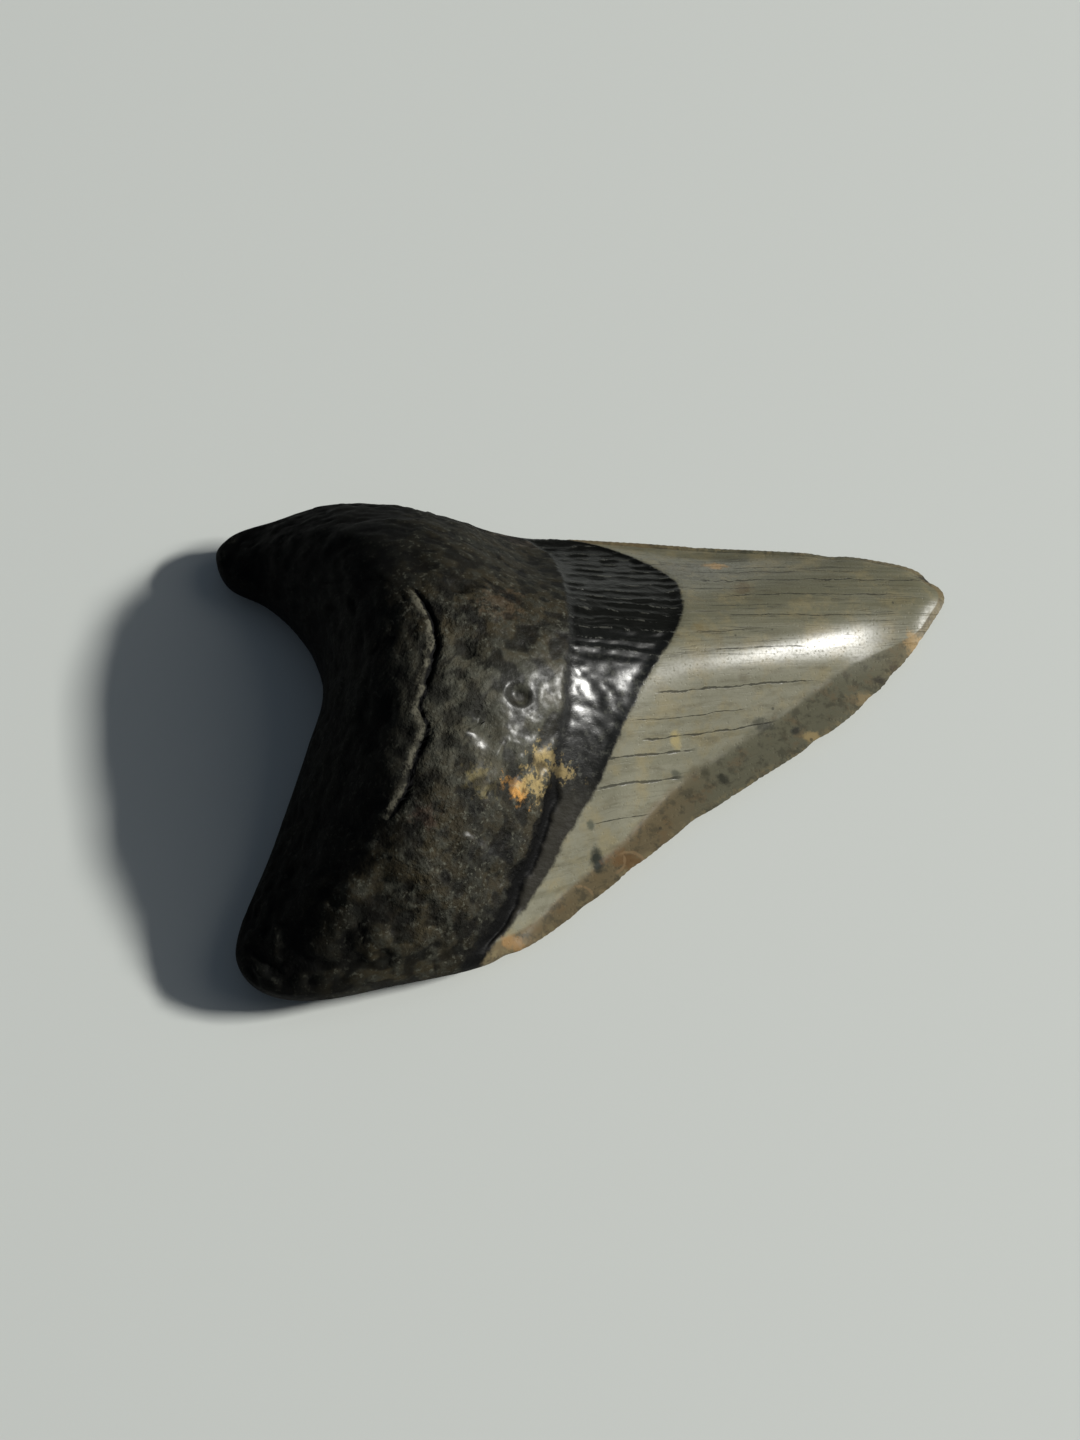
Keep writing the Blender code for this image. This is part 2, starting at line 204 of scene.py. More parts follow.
# Each face is a square grid of this many cells a side. The heart is a place in the root from which a
# straight ray meets the outline once, whichever way it points. Distances are worked out block by block.
CELLS = 220
HEART = np.array([-10.0, 8.0])
ROUNDING_CHANGE = (-20.0, -2.0)
RINGS_TO_RIM = 0.9
BLOCKS = 60
TINY = 1e-6


def bend_to_outline(u, v, rim):
    """Squeeze the square into a disc, u * sqrt(1 - v^2 / 2), and stretch its radii to the rim.

    Round the root nine tenths of each radius r become sin(r pi / 2), so rings lie closer on its steep sides.
    """
    across = u * np.sqrt(1 - v * v / 2)
    up = v * np.sqrt(1 - u * u / 2)
    turn = (np.arctan2(up, across) / (2 * np.pi)) % 1 * len(rim)
    end = between(turn, np.arange(len(rim) + 1), np.vstack([rim, rim[:1]]))
    reach = np.hypot(across, up)
    on_root = 1 - smooth(end[..., 0], *ROUNDING_CHANGE)
    reach = reach + (np.sin(reach * np.pi / 2) - reach) * on_root * RINGS_TO_RIM
    return HEART + reach[..., None] * (end - HEART)


def distance_inside(place, rim):
    """(3/4 * sum of length / distance^5) ^ (-1/4) over the rim's pieces.

    Beside a straight rim that is the distance from it.
    """
    closed = np.vstack([rim, rim[:1]])
    length = np.linalg.norm(np.diff(closed, axis=0), axis=1)
    middle = (closed[1:] + closed[:-1]) / 2
    blocks = np.array_split(place.reshape(-1, 2), BLOCKS)
    gaps = (((block[:, None] - middle) ** 2).sum(-1) + TINY for block in blocks)
    pull = np.concatenate([(length / (gap * gap * np.sqrt(gap))).sum(1) for gap in gaps])
    return (pull * 3 / 4).reshape(place.shape[:-1]) ** -0.25


ticks = np.linspace(-1, 1, CELLS + 1)
u, v = np.meshgrid(ticks, ticks, indexing="ij")
plan = bend_to_outline(u, v, rim)
x, y = plan[..., 0], plan[..., 1]
on_rim = np.maximum(np.abs(u), np.abs(v)) > 1 - 1e-9
inset = np.where(on_rim, 0, distance_inside(plan, plain_rim))

# The height of the rim over the table: the root's flanks, the lobes' ends, the cutting edge and the tip.
RIM_FLANK = 6.2
RIM_LEAN = 0.055
RIM_LOBE_END = 4.0
LOBE_END_LEAN = -0.02
RIM_EDGE = 2.0
RIM_TIP = 1.2
LOBE_END_CHANGE = (-42.0, -27.0)
RIM_CHANGE = (-24.0, -5.0)
TIP_CHANGE = (30.0, 44.0)

# The root's hump is a bell across the tooth that loses part of its height along the lobes. Its spread, and
# each lobe's start and fall, are the mesial side's number and then the distal side's.
HUMP_TOP = 21.6
HUMP_FOOT = 11.0
HUMP_CENTRE = 8.5
HUMP_SPREAD = (27.0, 16.0)
LOBE_START = (-18.8, -22.0)
LOBE_FALL = (0.65, 0.56)
LOBE_LENGTH = 18.0
LOBE_CHANGE = (-15.0, 10.0)
ROOT_ROUNDING = 15.0

# The mesial edge stands on a nearly flat band, whose width has knots along X.
BAND_X = [-12.0, -6.0, 0.0, 4.0, 8.0, 14.0, 35.0, 40.0, 44.0]
BAND_WIDTH = [0.8, 1.8, 2.7, 2.8, 3.8, 4.7, 4.9, 3.9, 2.0]
BAND_SLOPE = 0.14
BAND_RISE = 1.05
BAND_BEND = 0.5
BAND_SOFTNESS = 0.8
BAND_REACH = 4.0

# The crown's ridge, as knots along X: its height and its place across the tooth. Its distal side drops as
# a parabola, whose strength has knots too; its mesial side bends over and goes down at an even slope. The
# crown grew along lines that fan out from beyond the tip. Between two of them the mesial edge's form gives
# way to the distal edge's.
RIDGE_X = [-30.0, -15.0, -11.0, -6.0, 0.0, 6.0, 14.0, 25.0, 36.0, 44.0]
RIDGE_HEIGHT = [22.0, 21.9, 21.4, 19.5, 16.6, 14.4, 11.6, 7.4, 3.7, 1.9]
RIDGE_ACROSS = [0.0, 2.0, 2.8, 4.2, 5.8, 6.9, 8.6, 14.2, 19.6, 22.6]
SIDE_X = [-20.0, -8.0, 2.0, 14.0, 25.0, 44.0]
DISTAL_DROP = [0.012, 0.016, 0.026, 0.028, 0.031, 0.035]
MESIAL_SLOPE = 0.78
MESIAL_BEND = 6.0
BEVEL_SLOPE = 0.62
BEVEL_CURVE = 0.022
CRISPNESS = 5.0
BODY_CHANGE = (-15.0, 2.0)
GROWTH_LEAN = 0.315
GROWTH_FAN = 0.0108
SIDE_LINES = (0.0, 9.0)


def rim_height(x, y):
    """Smooth steps in X: highest beside the hump, lower at the lobes' ends, thin along the crown."""
    flank = RIM_FLANK + RIM_LEAN * y
    lobe_end = RIM_LOBE_END + LOBE_END_LEAN * y
    root = blend(lobe_end, flank, smooth(x, *LOBE_END_CHANGE))
    edge = blend(RIM_EDGE, RIM_TIP, smooth(x, *TIP_CHANGE))
    return blend(root, edge, smooth(x, *RIM_CHANGE))


def hump(x, y, rim):
    """foot + (top - foot) * exp(-((y - centre) / spread)^2 / 2), with a share of it lost along each lobe."""
    spread = np.where(y < HUMP_CENTRE, *HUMP_SPREAD)
    bell = blend(HUMP_FOOT, HUMP_TOP, np.exp(-0.5 * ((y - HUMP_CENTRE) / spread) ** 2))
    distal = smooth(y, *LOBE_CHANGE)
    start = blend(*LOBE_START, distal)
    fall = blend(*LOBE_FALL, distal)
    return blend(rim, bell, 1 - fall * smooth(start - x, 0, LOBE_LENGTH))


def crown(x, y):
    """Ridge height - drop * side^2 on the distal side.

    On the mesial side, ridge height - slope * (sqrt(side^2 + bend^2) - bend).
    """
    side = y - through_knots(x, RIDGE_X, RIDGE_ACROSS)
    distal = through_knots(x, SIDE_X, DISTAL_DROP) * side ** 2
    mesial = MESIAL_SLOPE * (np.hypot(side, MESIAL_BEND) - MESIAL_BEND)
    return through_knots(x, RIDGE_X, RIDGE_HEIGHT) - np.where(side > 0, distal, mesial)


def growth_across(x, y):
    """The number of the growth line through a point: (y - lean * x) / (1 - fan * x)."""
    return (y - GROWTH_LEAN * x) / (1 - GROWTH_FAN * x)


def edge_profile(x, y, inset):
    """Slope * inset + curve * inset^2 on the distal side.

    On the mesial side a flat band, and past it by a gap the steep rise * (gap + sqrt(gap^2 + bend^2)) / 2.
    """
    gap = inset - through_knots(x, BAND_X, BAND_WIDTH)
    mesial = BAND_SLOPE * inset + BAND_RISE * (gap + np.hypot(gap, BAND_BEND)) / 2
    distal = BEVEL_SLOPE * inset + BEVEL_CURVE * inset ** 2
    return blend(mesial, distal, smooth(growth_across(x, y), *SIDE_LINES))


def shoulder(inset, reach, height):
    """A quarter ellipse: height * sqrt(1 - (1 - inset / reach)^2)."""
    turned = 1 - np.clip(inset / reach, 0, 1)
    return height * np.sqrt(1 - turned ** 2)


def lower_of(a, b, crispness):
    """The lower of two heights, with a soft corner: (a^-n + b^-n)^(-1/n)."""
    return (a ** -crispness + b ** -crispness) ** (-1 / crispness)


def lingual_form(x, y, inset):
    """Rim height + a shoulder of the body on the root, or the lower of edge and body on the crown."""
    rim = rim_height(x, y)
    to_crown = smooth(x, *BODY_CHANGE)
    body = hump(x, y, rim) * (1 - to_crown) + crown(x, y) * to_crown - rim
    band = BAND_SLOPE * np.minimum(inset, BAND_REACH)
    body = (body + band + np.hypot(body - band, BAND_SOFTNESS)) / 2
    root = shoulder(inset, ROOT_ROUNDING, body)
    bevel = lower_of(np.maximum(edge_profile(x, y, inset), TINY), body, CRISPNESS)
    return rim + root + (bevel - root) * smooth(x, *ROUNDING_CHANGE)


# The neck's two borders on the lingual face: X at knots along Y. Between them the thin ribbed enamel lies
# sunken, and beside the root's border a groove deepens towards the mesial edge.
BORDER_Y = [-27.0, -22.7, -17.2, -11.2, -6.3, -1.0, 6.3, 10.9, 16.0, 20.1, 24.8, 28.5, 31.0]
ROOT_BORDER_X = [-13.0, -10.0, -7.3, -4.6, -3.4, -2.4, -1.5, -1.5, -1.9, -2.3, -3.2, -5.5, -9.5]
ENAMEL_BORDER_X = [-11.8, -8.3, -4.4, -0.9, 2.1, 4.6, 8.3, 10.8, 12.1, 11.7, 8.4, 3.4, -5.0]
NECK_DEPTH = 0.42
ENAMEL_STEP = 1.50
SUTURE_DEPTH = 0.85
SUTURE_WIDTH = 0.62
RIB_PITCH = 1.50
RIB_HEIGHT = 0.14
RIB_LEAN = 0.06
RIBBED_Y = (4.5, 9.0)

# Hollows and swellings of the bone: X, Y, radius along X, radius along Y, height.
LUMPS = [
    (-12.3, 4.2, 1.6, 1.9, -0.6),
    (-10.4, -4.4, 1.7, 2.3, -0.9),
    (-12.4, -5.8, 1.9, 0.9, 0.7),
    (-9.6, -18.3, 2.6, 2.0, -0.8),
    (-11.6, -16.6, 2.0, 0.9, 0.8),
    (-21.0, -22.0, 3.2, 2.8, -0.7),
    (-30.0, -23.0, 4.5, 3.6, 0.7),
    (-25.5, 22.5, 3.0, 2.6, 0.5),
    (-40.0, 26.0, 4.0, 4.0, -1.0),
    (-22.5, -3.0, 2.4, 4.0, -0.6),
    (-18.5, 18.0, 2.6, 3.0, -0.5),
    (-6.5, 16.5, 2.5, 3.5, 0.4),
]

# Pits with clear walls: X, Y, half length, half width, turn in degrees, depth.
PITS = [
    (-7.0, -0.2, 1.15, 1.05, 0, 0.75),
    (-13.8, 12.6, 0.9, 0.7, 30, 0.8),
    (-12.9, 4.3, 0.9, 1.2, 20, 0.45),
    (-14.6, 12.9, 0.5, 0.5, 0, 0.4),
    (-11.2, -3.9, 2.2, 0.55, -20, 0.45),
    (-13.9, -2.4, 0.5, 0.9, 0, 0.35),
    (-21.2, -2.2, 0.7, 1.6, 10, 0.5),
    (-10.2, -18.4, 1.7, 0.5, -10, 0.4),
    (-26.8, -22.6, 0.8, 0.8, 0, 0.45),
    (-24.5, -24.6, 0.6, 0.9, 0, 0.35),
    (-8.9, 11.2, 0.6, 0.5, 0, 0.3),
    (-9.8, 20.6, 0.9, 0.6, 10, 0.35),
]

# The long crack over the hump: X at knots along Y, and the lip that stands up on its notch side.
CRACK_Y = [-15.6, -14.6, -12.9, -10.7, -7.9, -5.1, -3.4, -0.4, 2.2, 4.8, 8.1, 10.9, 12.2]
CRACK_X = [-21.2, -20.4, -19.6, -18.5, -17.8, -16.9, -17.8, -17.1, -16.7, -16.2, -16.8, -18.3, -18.6]
CRACK_WANDER = 0.22
CRACK_FADE = 2.0
CRACK_WIDTH = 0.34
CRACK_DEPTH = 0.8
LIP_RUN = 0.55
LIP_HEIGHT = 0.36


def crack_gap(x, y):
    """How far a point lies past the crack's line along X, with a fine wander added to the line."""
    return x - through_knots(y, CRACK_Y, CRACK_X) - CRACK_WANDER * flat_noise(x * 0.2, y, 0.9, 21)


def crack_share(y):
    """1 beside the crack and 0 beyond its two ends."""
    start, end = CRACK_Y[0], CRACK_Y[-1]
    return smooth(y, start, start + CRACK_FADE) * (1 - smooth(y, end - CRACK_FADE, end))


def neck_position(x, y):
    """How far along X a point lies past the root's border and past the enamel's, each with a fine wander."""
    wander = 0.35 * flat_noise(x, y, 2.2, 22) + 0.12 * flat_noise(x, y, 0.8, 23)
    past_root = x - through_knots(y, BORDER_Y, ROOT_BORDER_X) + wander
    past_enamel = x - through_knots(y, BORDER_Y, ENAMEL_BORDER_X) + wander * 0.4
    return past_root, past_enamel


def bone_relief(x, y):
    """Bells exp(-r^2) for the lumps and the crack, flat-floored bells exp(-r^4) for the pits, and the lip."""
    height = np.zeros_like(x)
    for lump_x, lump_y, wide, long, rise in LUMPS:
        height += rise * np.exp(-((x - lump_x) / wide) ** 2 - ((y - lump_y) / long) ** 2)
    for pit_x, pit_y, long, wide, turn, depth in PITS:
        turn = np.radians(turn)
        along = (x - pit_x) * np.cos(turn) + (y - pit_y) * np.sin(turn)
        across = (y - pit_y) * np.cos(turn) - (x - pit_x) * np.sin(turn)
        height -= depth * np.exp(-((along / long) ** 2 + (across / wide) ** 2) ** 2)
    gap, share = crack_gap(x, y), crack_share(y)
    height -= CRACK_DEPTH * share * np.exp(-(gap / CRACK_WIDTH) ** 2)
    height += LIP_HEIGHT * share * np.exp(np.minimum(gap, 0) / LIP_RUN) * (gap < 0)
    return height


def across_ribs(x, y):
    """How far a point lies across the neck's ribs: y - lean * x, with a slow and a fine wander."""
    return y - RIB_LEAN * x + 0.45 * flat_noise(x * 0.45, y, 2.4, 24) + 0.20 * flat_noise(x, y, 1.1, 29)


def neck_relief(x, y):
    """The neck sunk between two steps, the groove, a bell, and ribs cos(2 pi across / pitch) that fade."""
    past_root, past_enamel = neck_position(x, y)
    in_neck = smooth(past_root, -0.3, 1.4) * (1 - smooth(past_enamel, -ENAMEL_STEP, 0.3))
    groove = np.exp(-((past_root - 0.6) / SUTURE_WIDTH) ** 2) * (0.15 + 0.85 * (1 - smooth(y, -9, -5)))
    beads = smooth(flat_noise(x * 0.6, y * 0.8, 1.1, 25), -0.5, 0.4)
    ribs = np.cos(2 * np.pi * across_ribs(x, y) / RIB_PITCH) * (0.1 + 0.8 * beads)
    ribbed = smooth(y, *RIBBED_Y)
    uneven = flat_noise(x, y * 1.2, 1.0, 26) * (0.25 + 0.38 * smooth(y, -3, 2))
    ribs = RIB_HEIGHT * (ribs * ribbed + uneven * (1.3 - ribbed))
    return in_neck * (ribs - NECK_DEPTH) - SUTURE_DEPTH * groove


def crown_relief(x, y):
    """Low swells drawn out along the growth lines, which the wear of the enamel has left."""
    along, across = x * 0.09, growth_across(x, y)
    return 0.012 * flat_noise(along, across, 1.7, 27) + 0.03 * flat_noise(along, across, 4.5, 28)


past_root, past_enamel = neck_position(x, y)
bony = 1 - smooth(past_root, -0.2, 0.4)
enamelled = smooth(past_enamel, -0.1, 0.2)
relief = bone_relief(x, y) + neck_relief(x, y) + crown_relief(x, y) * enamelled
off_rim = smooth(inset, 0, 2)
upper_z = lingual_form(x, y, inset) + relief * off_rim

# The labial face: a shallow vault on three pads that meet the table. Each pad is X, Y, radius, drop. Its
# enamel reaches the root in one line, without a neck: X at knots along Y.
VAULT = 0.9
PADS = [(-33.0, 22.5, 7.0, 1.4), (-30.5, -24.0, 8.0, 1.4), (20.0, 14.0, 9.0, 1.2)]
NOTCH_ARCH = (-24.0, 1.0, 8.0, 10.0, 0.5)
LABIAL_ROUNDING = 6.0
LABIAL_BEVEL = 0.42
LABIAL_STEP = 0.25
LEAST_DEPTH = 0.05
LABIAL_BORDER_Y = [-27.0, -21.0, -12.0, -2.0, 8.0, 17.0, 25.0, 31.0]
LABIAL_BORDER_X = [-12.4, -13.8, -14.6, -14.0, -13.2, -12.6, -11.0, -8.2]


def labial_form(x, y, inset):
    """Rim height - a shoulder of the depth under the root, or the lower of bevel and depth at the crown."""
    rim = rim_height(x, y)
    arch_x, arch_y, wide, long, rise = NOTCH_ARCH
    vault = VAULT + rise * np.exp(-((x - arch_x) / wide) ** 2 - ((y - arch_y) / long) ** 2)
    for pad_x, pad_y, radius, drop in PADS:
        vault = vault - drop * np.exp(-((x - pad_x) ** 2 + (y - pad_y) ** 2) / radius ** 2)
    depth = np.maximum(rim - np.maximum(vault, 0), LEAST_DEPTH)
    root = shoulder(inset, LABIAL_ROUNDING, depth)
    bevel = lower_of(np.maximum(LABIAL_BEVEL * inset, TINY), depth, CRISPNESS)
    return np.maximum(rim - root - (bevel - root) * smooth(x, *ROUNDING_CHANGE), 0)


past_labial = x - through_knots(y, LABIAL_BORDER_Y, LABIAL_BORDER_X) + 0.5 * flat_noise(x, y, 3.0, 31)
labial_bony = 1 - smooth(past_labial, -0.2, 0.3)
step = LABIAL_STEP * labial_bony * smooth(inset, 0.5, 3)
lower_z = labial_form(x, y, inset) + step + crown_relief(x, y) * (1 - labial_bony) * off_rim

# The bone's grain stands square to the surface: broad swells, round knobs on a lower ground, fine grains,
# and pores; each has a size and a height.
SWELLS = (3.1, 0.22)
KNOBS = (1.35, 0.26)
FINE_GRAINS = (0.75, 0.10)
PORES = (0.95, 0.20)


def outwards(points, flip):
    """The unit normal at each grid point, from the cross product of the steps along the grid's two ways."""
    normal = np.cross(np.gradient(points, axis=0), np.gradient(points, axis=1)) * flip
    return normal / np.maximum(np.linalg.norm(normal, axis=-1, keepdims=True), 1e-12)


def grained(points, flip, share):
    """Points moved along their normals by noise and by smooth steps of noise; and how hollow each lies."""
    knobs = smooth(noise(points, KNOBS[0], 41), -0.45, 0.55)
    pores = smooth(noise(points, PORES[0], 50), 0.30, 0.70) * (0.6 + 0.4 * noise(points, 5.0, 51))
    height = SWELLS[1] * noise(points, SWELLS[0], 40) + FINE_GRAINS[1] * noise(points, FINE_GRAINS[0], 42)
    height = height + KNOBS[1] * (knobs - 0.5) - PORES[1] * pores
    hollow = np.maximum(0.7 * (1 - smooth(knobs, 0.05, 0.55)), pores)
    return points + outwards(points, flip) * (height * share)[..., None], hollow


near_lobe = 0.85 + 0.35 * (1 - smooth(y, -20, -8)) * smooth(-x, 8, 16)
rubbed = 0.55 * smooth(x, -14, -8) * smooth(y, -6, 0) + 0.10 * smooth(y, 13, 20)
fade = smooth(inset, 0, 1.2)
spongy = bony * fade * near_lobe * (1 - np.minimum(rubbed, 0.6))
upper, upper_hollow = grained(np.dstack([x, y, upper_z]), 1, spongy)
lower, lower_hollow = grained(np.dstack([x, y, lower_z]), -1, labial_bony * fade * 0.8)


def fitted(points, box):
    """The points scaled along each axis so that their own box is the given one, in millimetres."""
    low, high = points.min(0), points.max(0)
    floor, top = np.array(box[0]) / MM, np.array(box[1]) / MM
    return floor + (points - low) * (top - floor) / (high - low)


def welded(upper, lower, on_rim):
    """Both grids as one list of points and one of four-sided faces, with one rim between them."""
    first = np.arange(on_rim.size).reshape(on_rim.shape)
    second = first.copy()
    second[~on_rim] = on_rim.size + np.arange((~on_rim).sum())
    low, high = slice(None, -1), slice(1, None)
    corners = [(low, low), (high, low), (high, high), (low, high)]
    top = np.stack([first[c] for c in corners], -1).reshape(-1, 4)
    under = np.stack([second[c] for c in corners], -1).reshape(-1, 4)[:, ::-1]
    points = np.vstack([upper.reshape(-1, 3), lower[~on_rim]])
    return points, np.vstack([top, under])


# Faces that meet at more than this angle are shaded as a crease.
SHARP_ANGLE = math.radians(62)

points, quads = welded(upper, lower, on_rim)
points = fitted(points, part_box("tooth"))
mesh = bpy.data.meshes.new("megalodon_tooth")
mesh.from_pydata(points * MM, [], quads)
mesh.shade_smooth()
mesh.set_sharp_from_angle(angle=SHARP_ANGLE)
mesh.validate()

# What the colours follow, kept at each point: how far past the two borders, into the band along the cutting
# edge, from the crack, and from the rim; the growth line; how hollow the bone is; and the place across ribs.
DISTAL_BAND = 0.7
FAR = 60.0


def both_faces(on_upper, on_lower):
    """One value a point, in the order of the welded points."""
    return np.concatenate([on_upper.ravel(), on_lower[~on_rim]]).astype(np.float32)


def keep(name, on_upper, on_lower):
    """Keep one number at each point of the mesh, for the material to read."""
    mesh.attributes.new(name, "FLOAT", "POINT").data.foreach_set("value", both_faces(on_upper, on_lower))


line = growth_across(x, y)
mesial = 1 - smooth(line, *SIDE_LINES)
band_width = blend(DISTAL_BAND, through_knots(x, BAND_X, BAND_WIDTH), mesial)
gap = np.where(crack_share(y) > 0.05, crack_gap(x, y), FAR)
keep("past_root_border", past_root, past_labial)
keep("past_enamel_border", past_enamel, past_labial)
keep("into_band", inset / band_width, inset / band_width * 1.6)
keep("from_crack", gap, np.full_like(x, FAR))
keep("from_rim", inset, inset)
keep("growth_across", line, line + FAR)
keep("hollow", upper_hollow, lower_hollow)
keep("across_ribs", across_ribs(x, y), across_ribs(x, y))


def stood(name, data):
    """A new object with this data, in the scene."""
    thing = bpy.data.objects.new(name, data)
    bpy.context.scene.collection.objects.link(thing)
    return thing


tooth = stood("megalodon_tooth", mesh)

# The colours, as shares of the light each gives back.
BONE_BLACK = (0.0018, 0.0021, 0.0019, 1)
BONE_DARK = (0.0110, 0.0104, 0.0074, 1)
BONE_BROWN = (0.0330, 0.0270, 0.0152, 1)
BONE_GREY = (0.0380, 0.0380, 0.0290, 1)
# Grey for the pale middle, and for specks that are painted glints.
SPECK_AND_GLINT_GREY = (0.0800, 0.0800, 0.0620, 1)
LIP_GREY = (0.0800, 0.0750, 0.0550, 1)
# Painted shade for the bone's hollows.
HOLLOW_SHADE = (0.0012, 0.0012, 0.0012, 1)
NECK_BLACK = (0.0050, 0.0052, 0.0044, 1)
# Grey for the neck's patches, and a painted highlight on its rib crests.
NECK_GREY_AND_GLINT = (0.0420, 0.0424, 0.0350, 1)
NECK_SMOOTH = (0.0180, 0.0165, 0.0125, 1)
ENAMEL_PALE = (0.158, 0.152, 0.112, 1)
ENAMEL_OLIVE = (0.098, 0.094, 0.062, 1)
ENAMEL_YELLOW = (0.180, 0.150, 0.080, 1)
ENAMEL_BROWN = (0.070, 0.060, 0.036, 1)
LINE_DARK = (0.022, 0.022, 0.018, 1)
BAND_BROWN = (0.100, 0.077, 0.042, 1)
BAND_GREEN = (0.084, 0.080, 0.053, 1)
BAND_TIP = (0.112, 0.092, 0.053, 1)
BAND_DARK = (0.030, 0.028, 0.019, 1)
RUST = (0.110, 0.060, 0.024, 1)
OCHRE = (0.420, 0.215, 0.060, 1)
OCHRE_PALE = (0.260, 0.195, 0.085, 1)
# Painted shade for the crack and the groove.
CLEFT_SHADE = (0.0015, 0.0015, 0.0015, 1)
EDGE_TAN = (0.160, 0.130, 0.070, 1)
CRESCENT_TAN = (0.190, 0.130, 0.070, 1)

# How strongly the stone and its clear skin mirror the light, and how blurred the skin's highlight is.
STONE_IOR = 1.17
SKIN_IOR = 1.50
SKIN_ROUGHNESS = 0.29


def put(tree, kind, fill, **settings):
    """Add a node with these settings, and give its sockets values or join them to other nodes' outputs."""
    node = tree.nodes.new(kind)
    for name, value in settings.items():
        setattr(node, name, value)
    for socket, value in fill.items():
        if isinstance(value, bpy.types.NodeSocket):
            tree.links.new(value, node.inputs[socket])
        else:
            node.inputs[socket].default_value = value
    return node


def reckon(tree, operation, a, b=0.0, c=0.0):
    """One step of arithmetic."""
    return put(tree, "ShaderNodeMath", {0: a, 1: b, 2: c}, operation=operation).outputs[0]


def times(tree, product, *others):
    """The product of all these numbers, from left to right."""
    for other in others:
        product = reckon(tree, "MULTIPLY", product, other)
    return product


def plus(tree, number, share, rest):
    """Number * share + rest."""
    return reckon(tree, "MULTIPLY_ADD", number, share, rest)


def step_up(tree, value, low, high, bottom=0.0, top=1.0):
    """From bottom at low to top at high by a smooth step; low above high makes it fall."""
    fill = {"Value": value, "From Min": low, "From Max": high, "To Min": bottom, "To Max": top}
    return put(tree, "ShaderNodeMapRange", fill, interpolation_type="SMOOTHSTEP").outputs["Result"]


def layered(tree, colour, layers):
    """The colour with layers over it, from the lowest up: the share that each one hides, and its colour."""
    for share, over in layers:
        colour = put(tree, "ShaderNodeMix", {0: share, 6: colour, 7: over}, data_type="RGBA").outputs[2]
    return colour


def stretched(tree, place, along, across, up=1.0):
    """The place with each axis multiplied by its own number."""
    fill = {0: place, 1: (along, across, up)}
    return put(tree, "ShaderNodeVectorMath", fill, operation="MULTIPLY").outputs[0]


def cloud(tree, place, size, detail=2.0, rough=0.55):
    """Soft noise from 0 to 1 whose patches are about this many millimetres across."""
    fill = {"Vector": place, "Scale": 1 / size, "Detail": detail, "Roughness": rough}
    return put(tree, "ShaderNodeTexNoise", fill).outputs["Fac"]


def swing(tree, place, size, detail=3.0, rough=0.55):
    """The same noise, less a half, so that it goes both ways from 0."""
    return reckon(tree, "SUBTRACT", cloud(tree, place, size, detail, rough), 0.5)


def group(name, wanted):
    """A new node group with a vector input Place, these number inputs and a number output Mask."""
    tree = bpy.data.node_groups.new(name, "ShaderNodeTree")
    tree.interface.new_socket("Place", in_out="INPUT", socket_type="NodeSocketVector")
    for socket in wanted:
        tree.interface.new_socket(socket, in_out="INPUT", socket_type="NodeSocketFloat")
    tree.interface.new_socket("Mask", in_out="OUTPUT", socket_type="NodeSocketFloat")
    given = tree.nodes.new("NodeGroupInput").outputs
    return tree, given, given["Place"], tree.nodes.new("NodeGroupOutput").inputs["Mask"]


def fissure_group():
    """A thin line: 1 within its width of the numbered growth line, and faded at its two ends.

    The place here is X and the number of the growth line.
    """
    tree, given, place, out = group("fissure", ["Line", "From", "To", "Width", "Wander"])
    parts = put(tree, "ShaderNodeSeparateXYZ", {0: place}).outputs
    sway = times(tree, swing(tree, stretched(tree, place, 0.30, 0.3), 1.0), given["Wander"])
    off = reckon(tree, "SUBTRACT", parts["Y"], given["Line"])
    off = reckon(tree, "ABSOLUTE", reckon(tree, "ADD", off, sway))
    thick = cloud(tree, stretched(tree, place, 0.8, 0.2), 1.0)
    thick = times(tree, step_up(tree, thick, 0.3, 0.62, 0.15, 1.3), given["Width"])
    inside = step_up(tree, reckon(tree, "DIVIDE", off, thick), 1.0, 0.35)
    begun = step_up(tree, reckon(tree, "SUBTRACT", parts["X"], given["From"]), -0.6, 0.6)
    ended = step_up(tree, reckon(tree, "SUBTRACT", parts["X"], given["To"]), 0.9, -0.9)
    tree.links.new(times(tree, inside, begun, ended), out)
    return tree


def offset(tree, place, given):
    """How far a place lies from the inputs X and Y, along each."""
    parts = put(tree, "ShaderNodeSeparateXYZ", {0: place}).outputs
    return [reckon(tree, "SUBTRACT", parts[axis], given[axis]) for axis in "XY"]


def stain_group():
    """A ragged patch: 1 where the distance from its centre, over its radii and with noise added, is small."""
    tree, given, place, out = group("stain", ["X", "Y", "Long", "Wide", "Ragged"])
    x, y = offset(tree, place, given)
    along = reckon(tree, "DIVIDE", x, given["Long"])
    across = reckon(tree, "DIVIDE", y, given["Wide"])
    far = reckon(tree, "SQRT", reckon(tree, "ADD", times(tree, along, along), times(tree, across, across)))
    torn = swing(tree, place, 1.0, rough=0.65)
    far = plus(tree, torn, times(tree, given["Ragged"], 2.6), far)
    tree.links.new(step_up(tree, far, 1.35, 0.40), out)
    return tree


def specks_group():
    """Small scattered dots: 1 near the middle of each cell whose own random number is under the share."""
    tree, given, place, out = group("specks", ["Size", "Share", "Radius"])
    fill = {"Vector": place, "Scale": reckon(tree, "DIVIDE", 1.0, given["Size"])}
    cells = put(tree, "ShaderNodeTexVoronoi", fill, feature="F1").outputs
    red = put(tree, "ShaderNodeSeparateColor", {0: cells["Color"]}).outputs[0]
    chosen = reckon(tree, "LESS_THAN", red, given["Share"])
    near = step_up(tree, reckon(tree, "DIVIDE", cells["Distance"], given["Radius"]), 1.0, 0.6)
    tree.links.new(times(tree, chosen, near), out)
    return tree


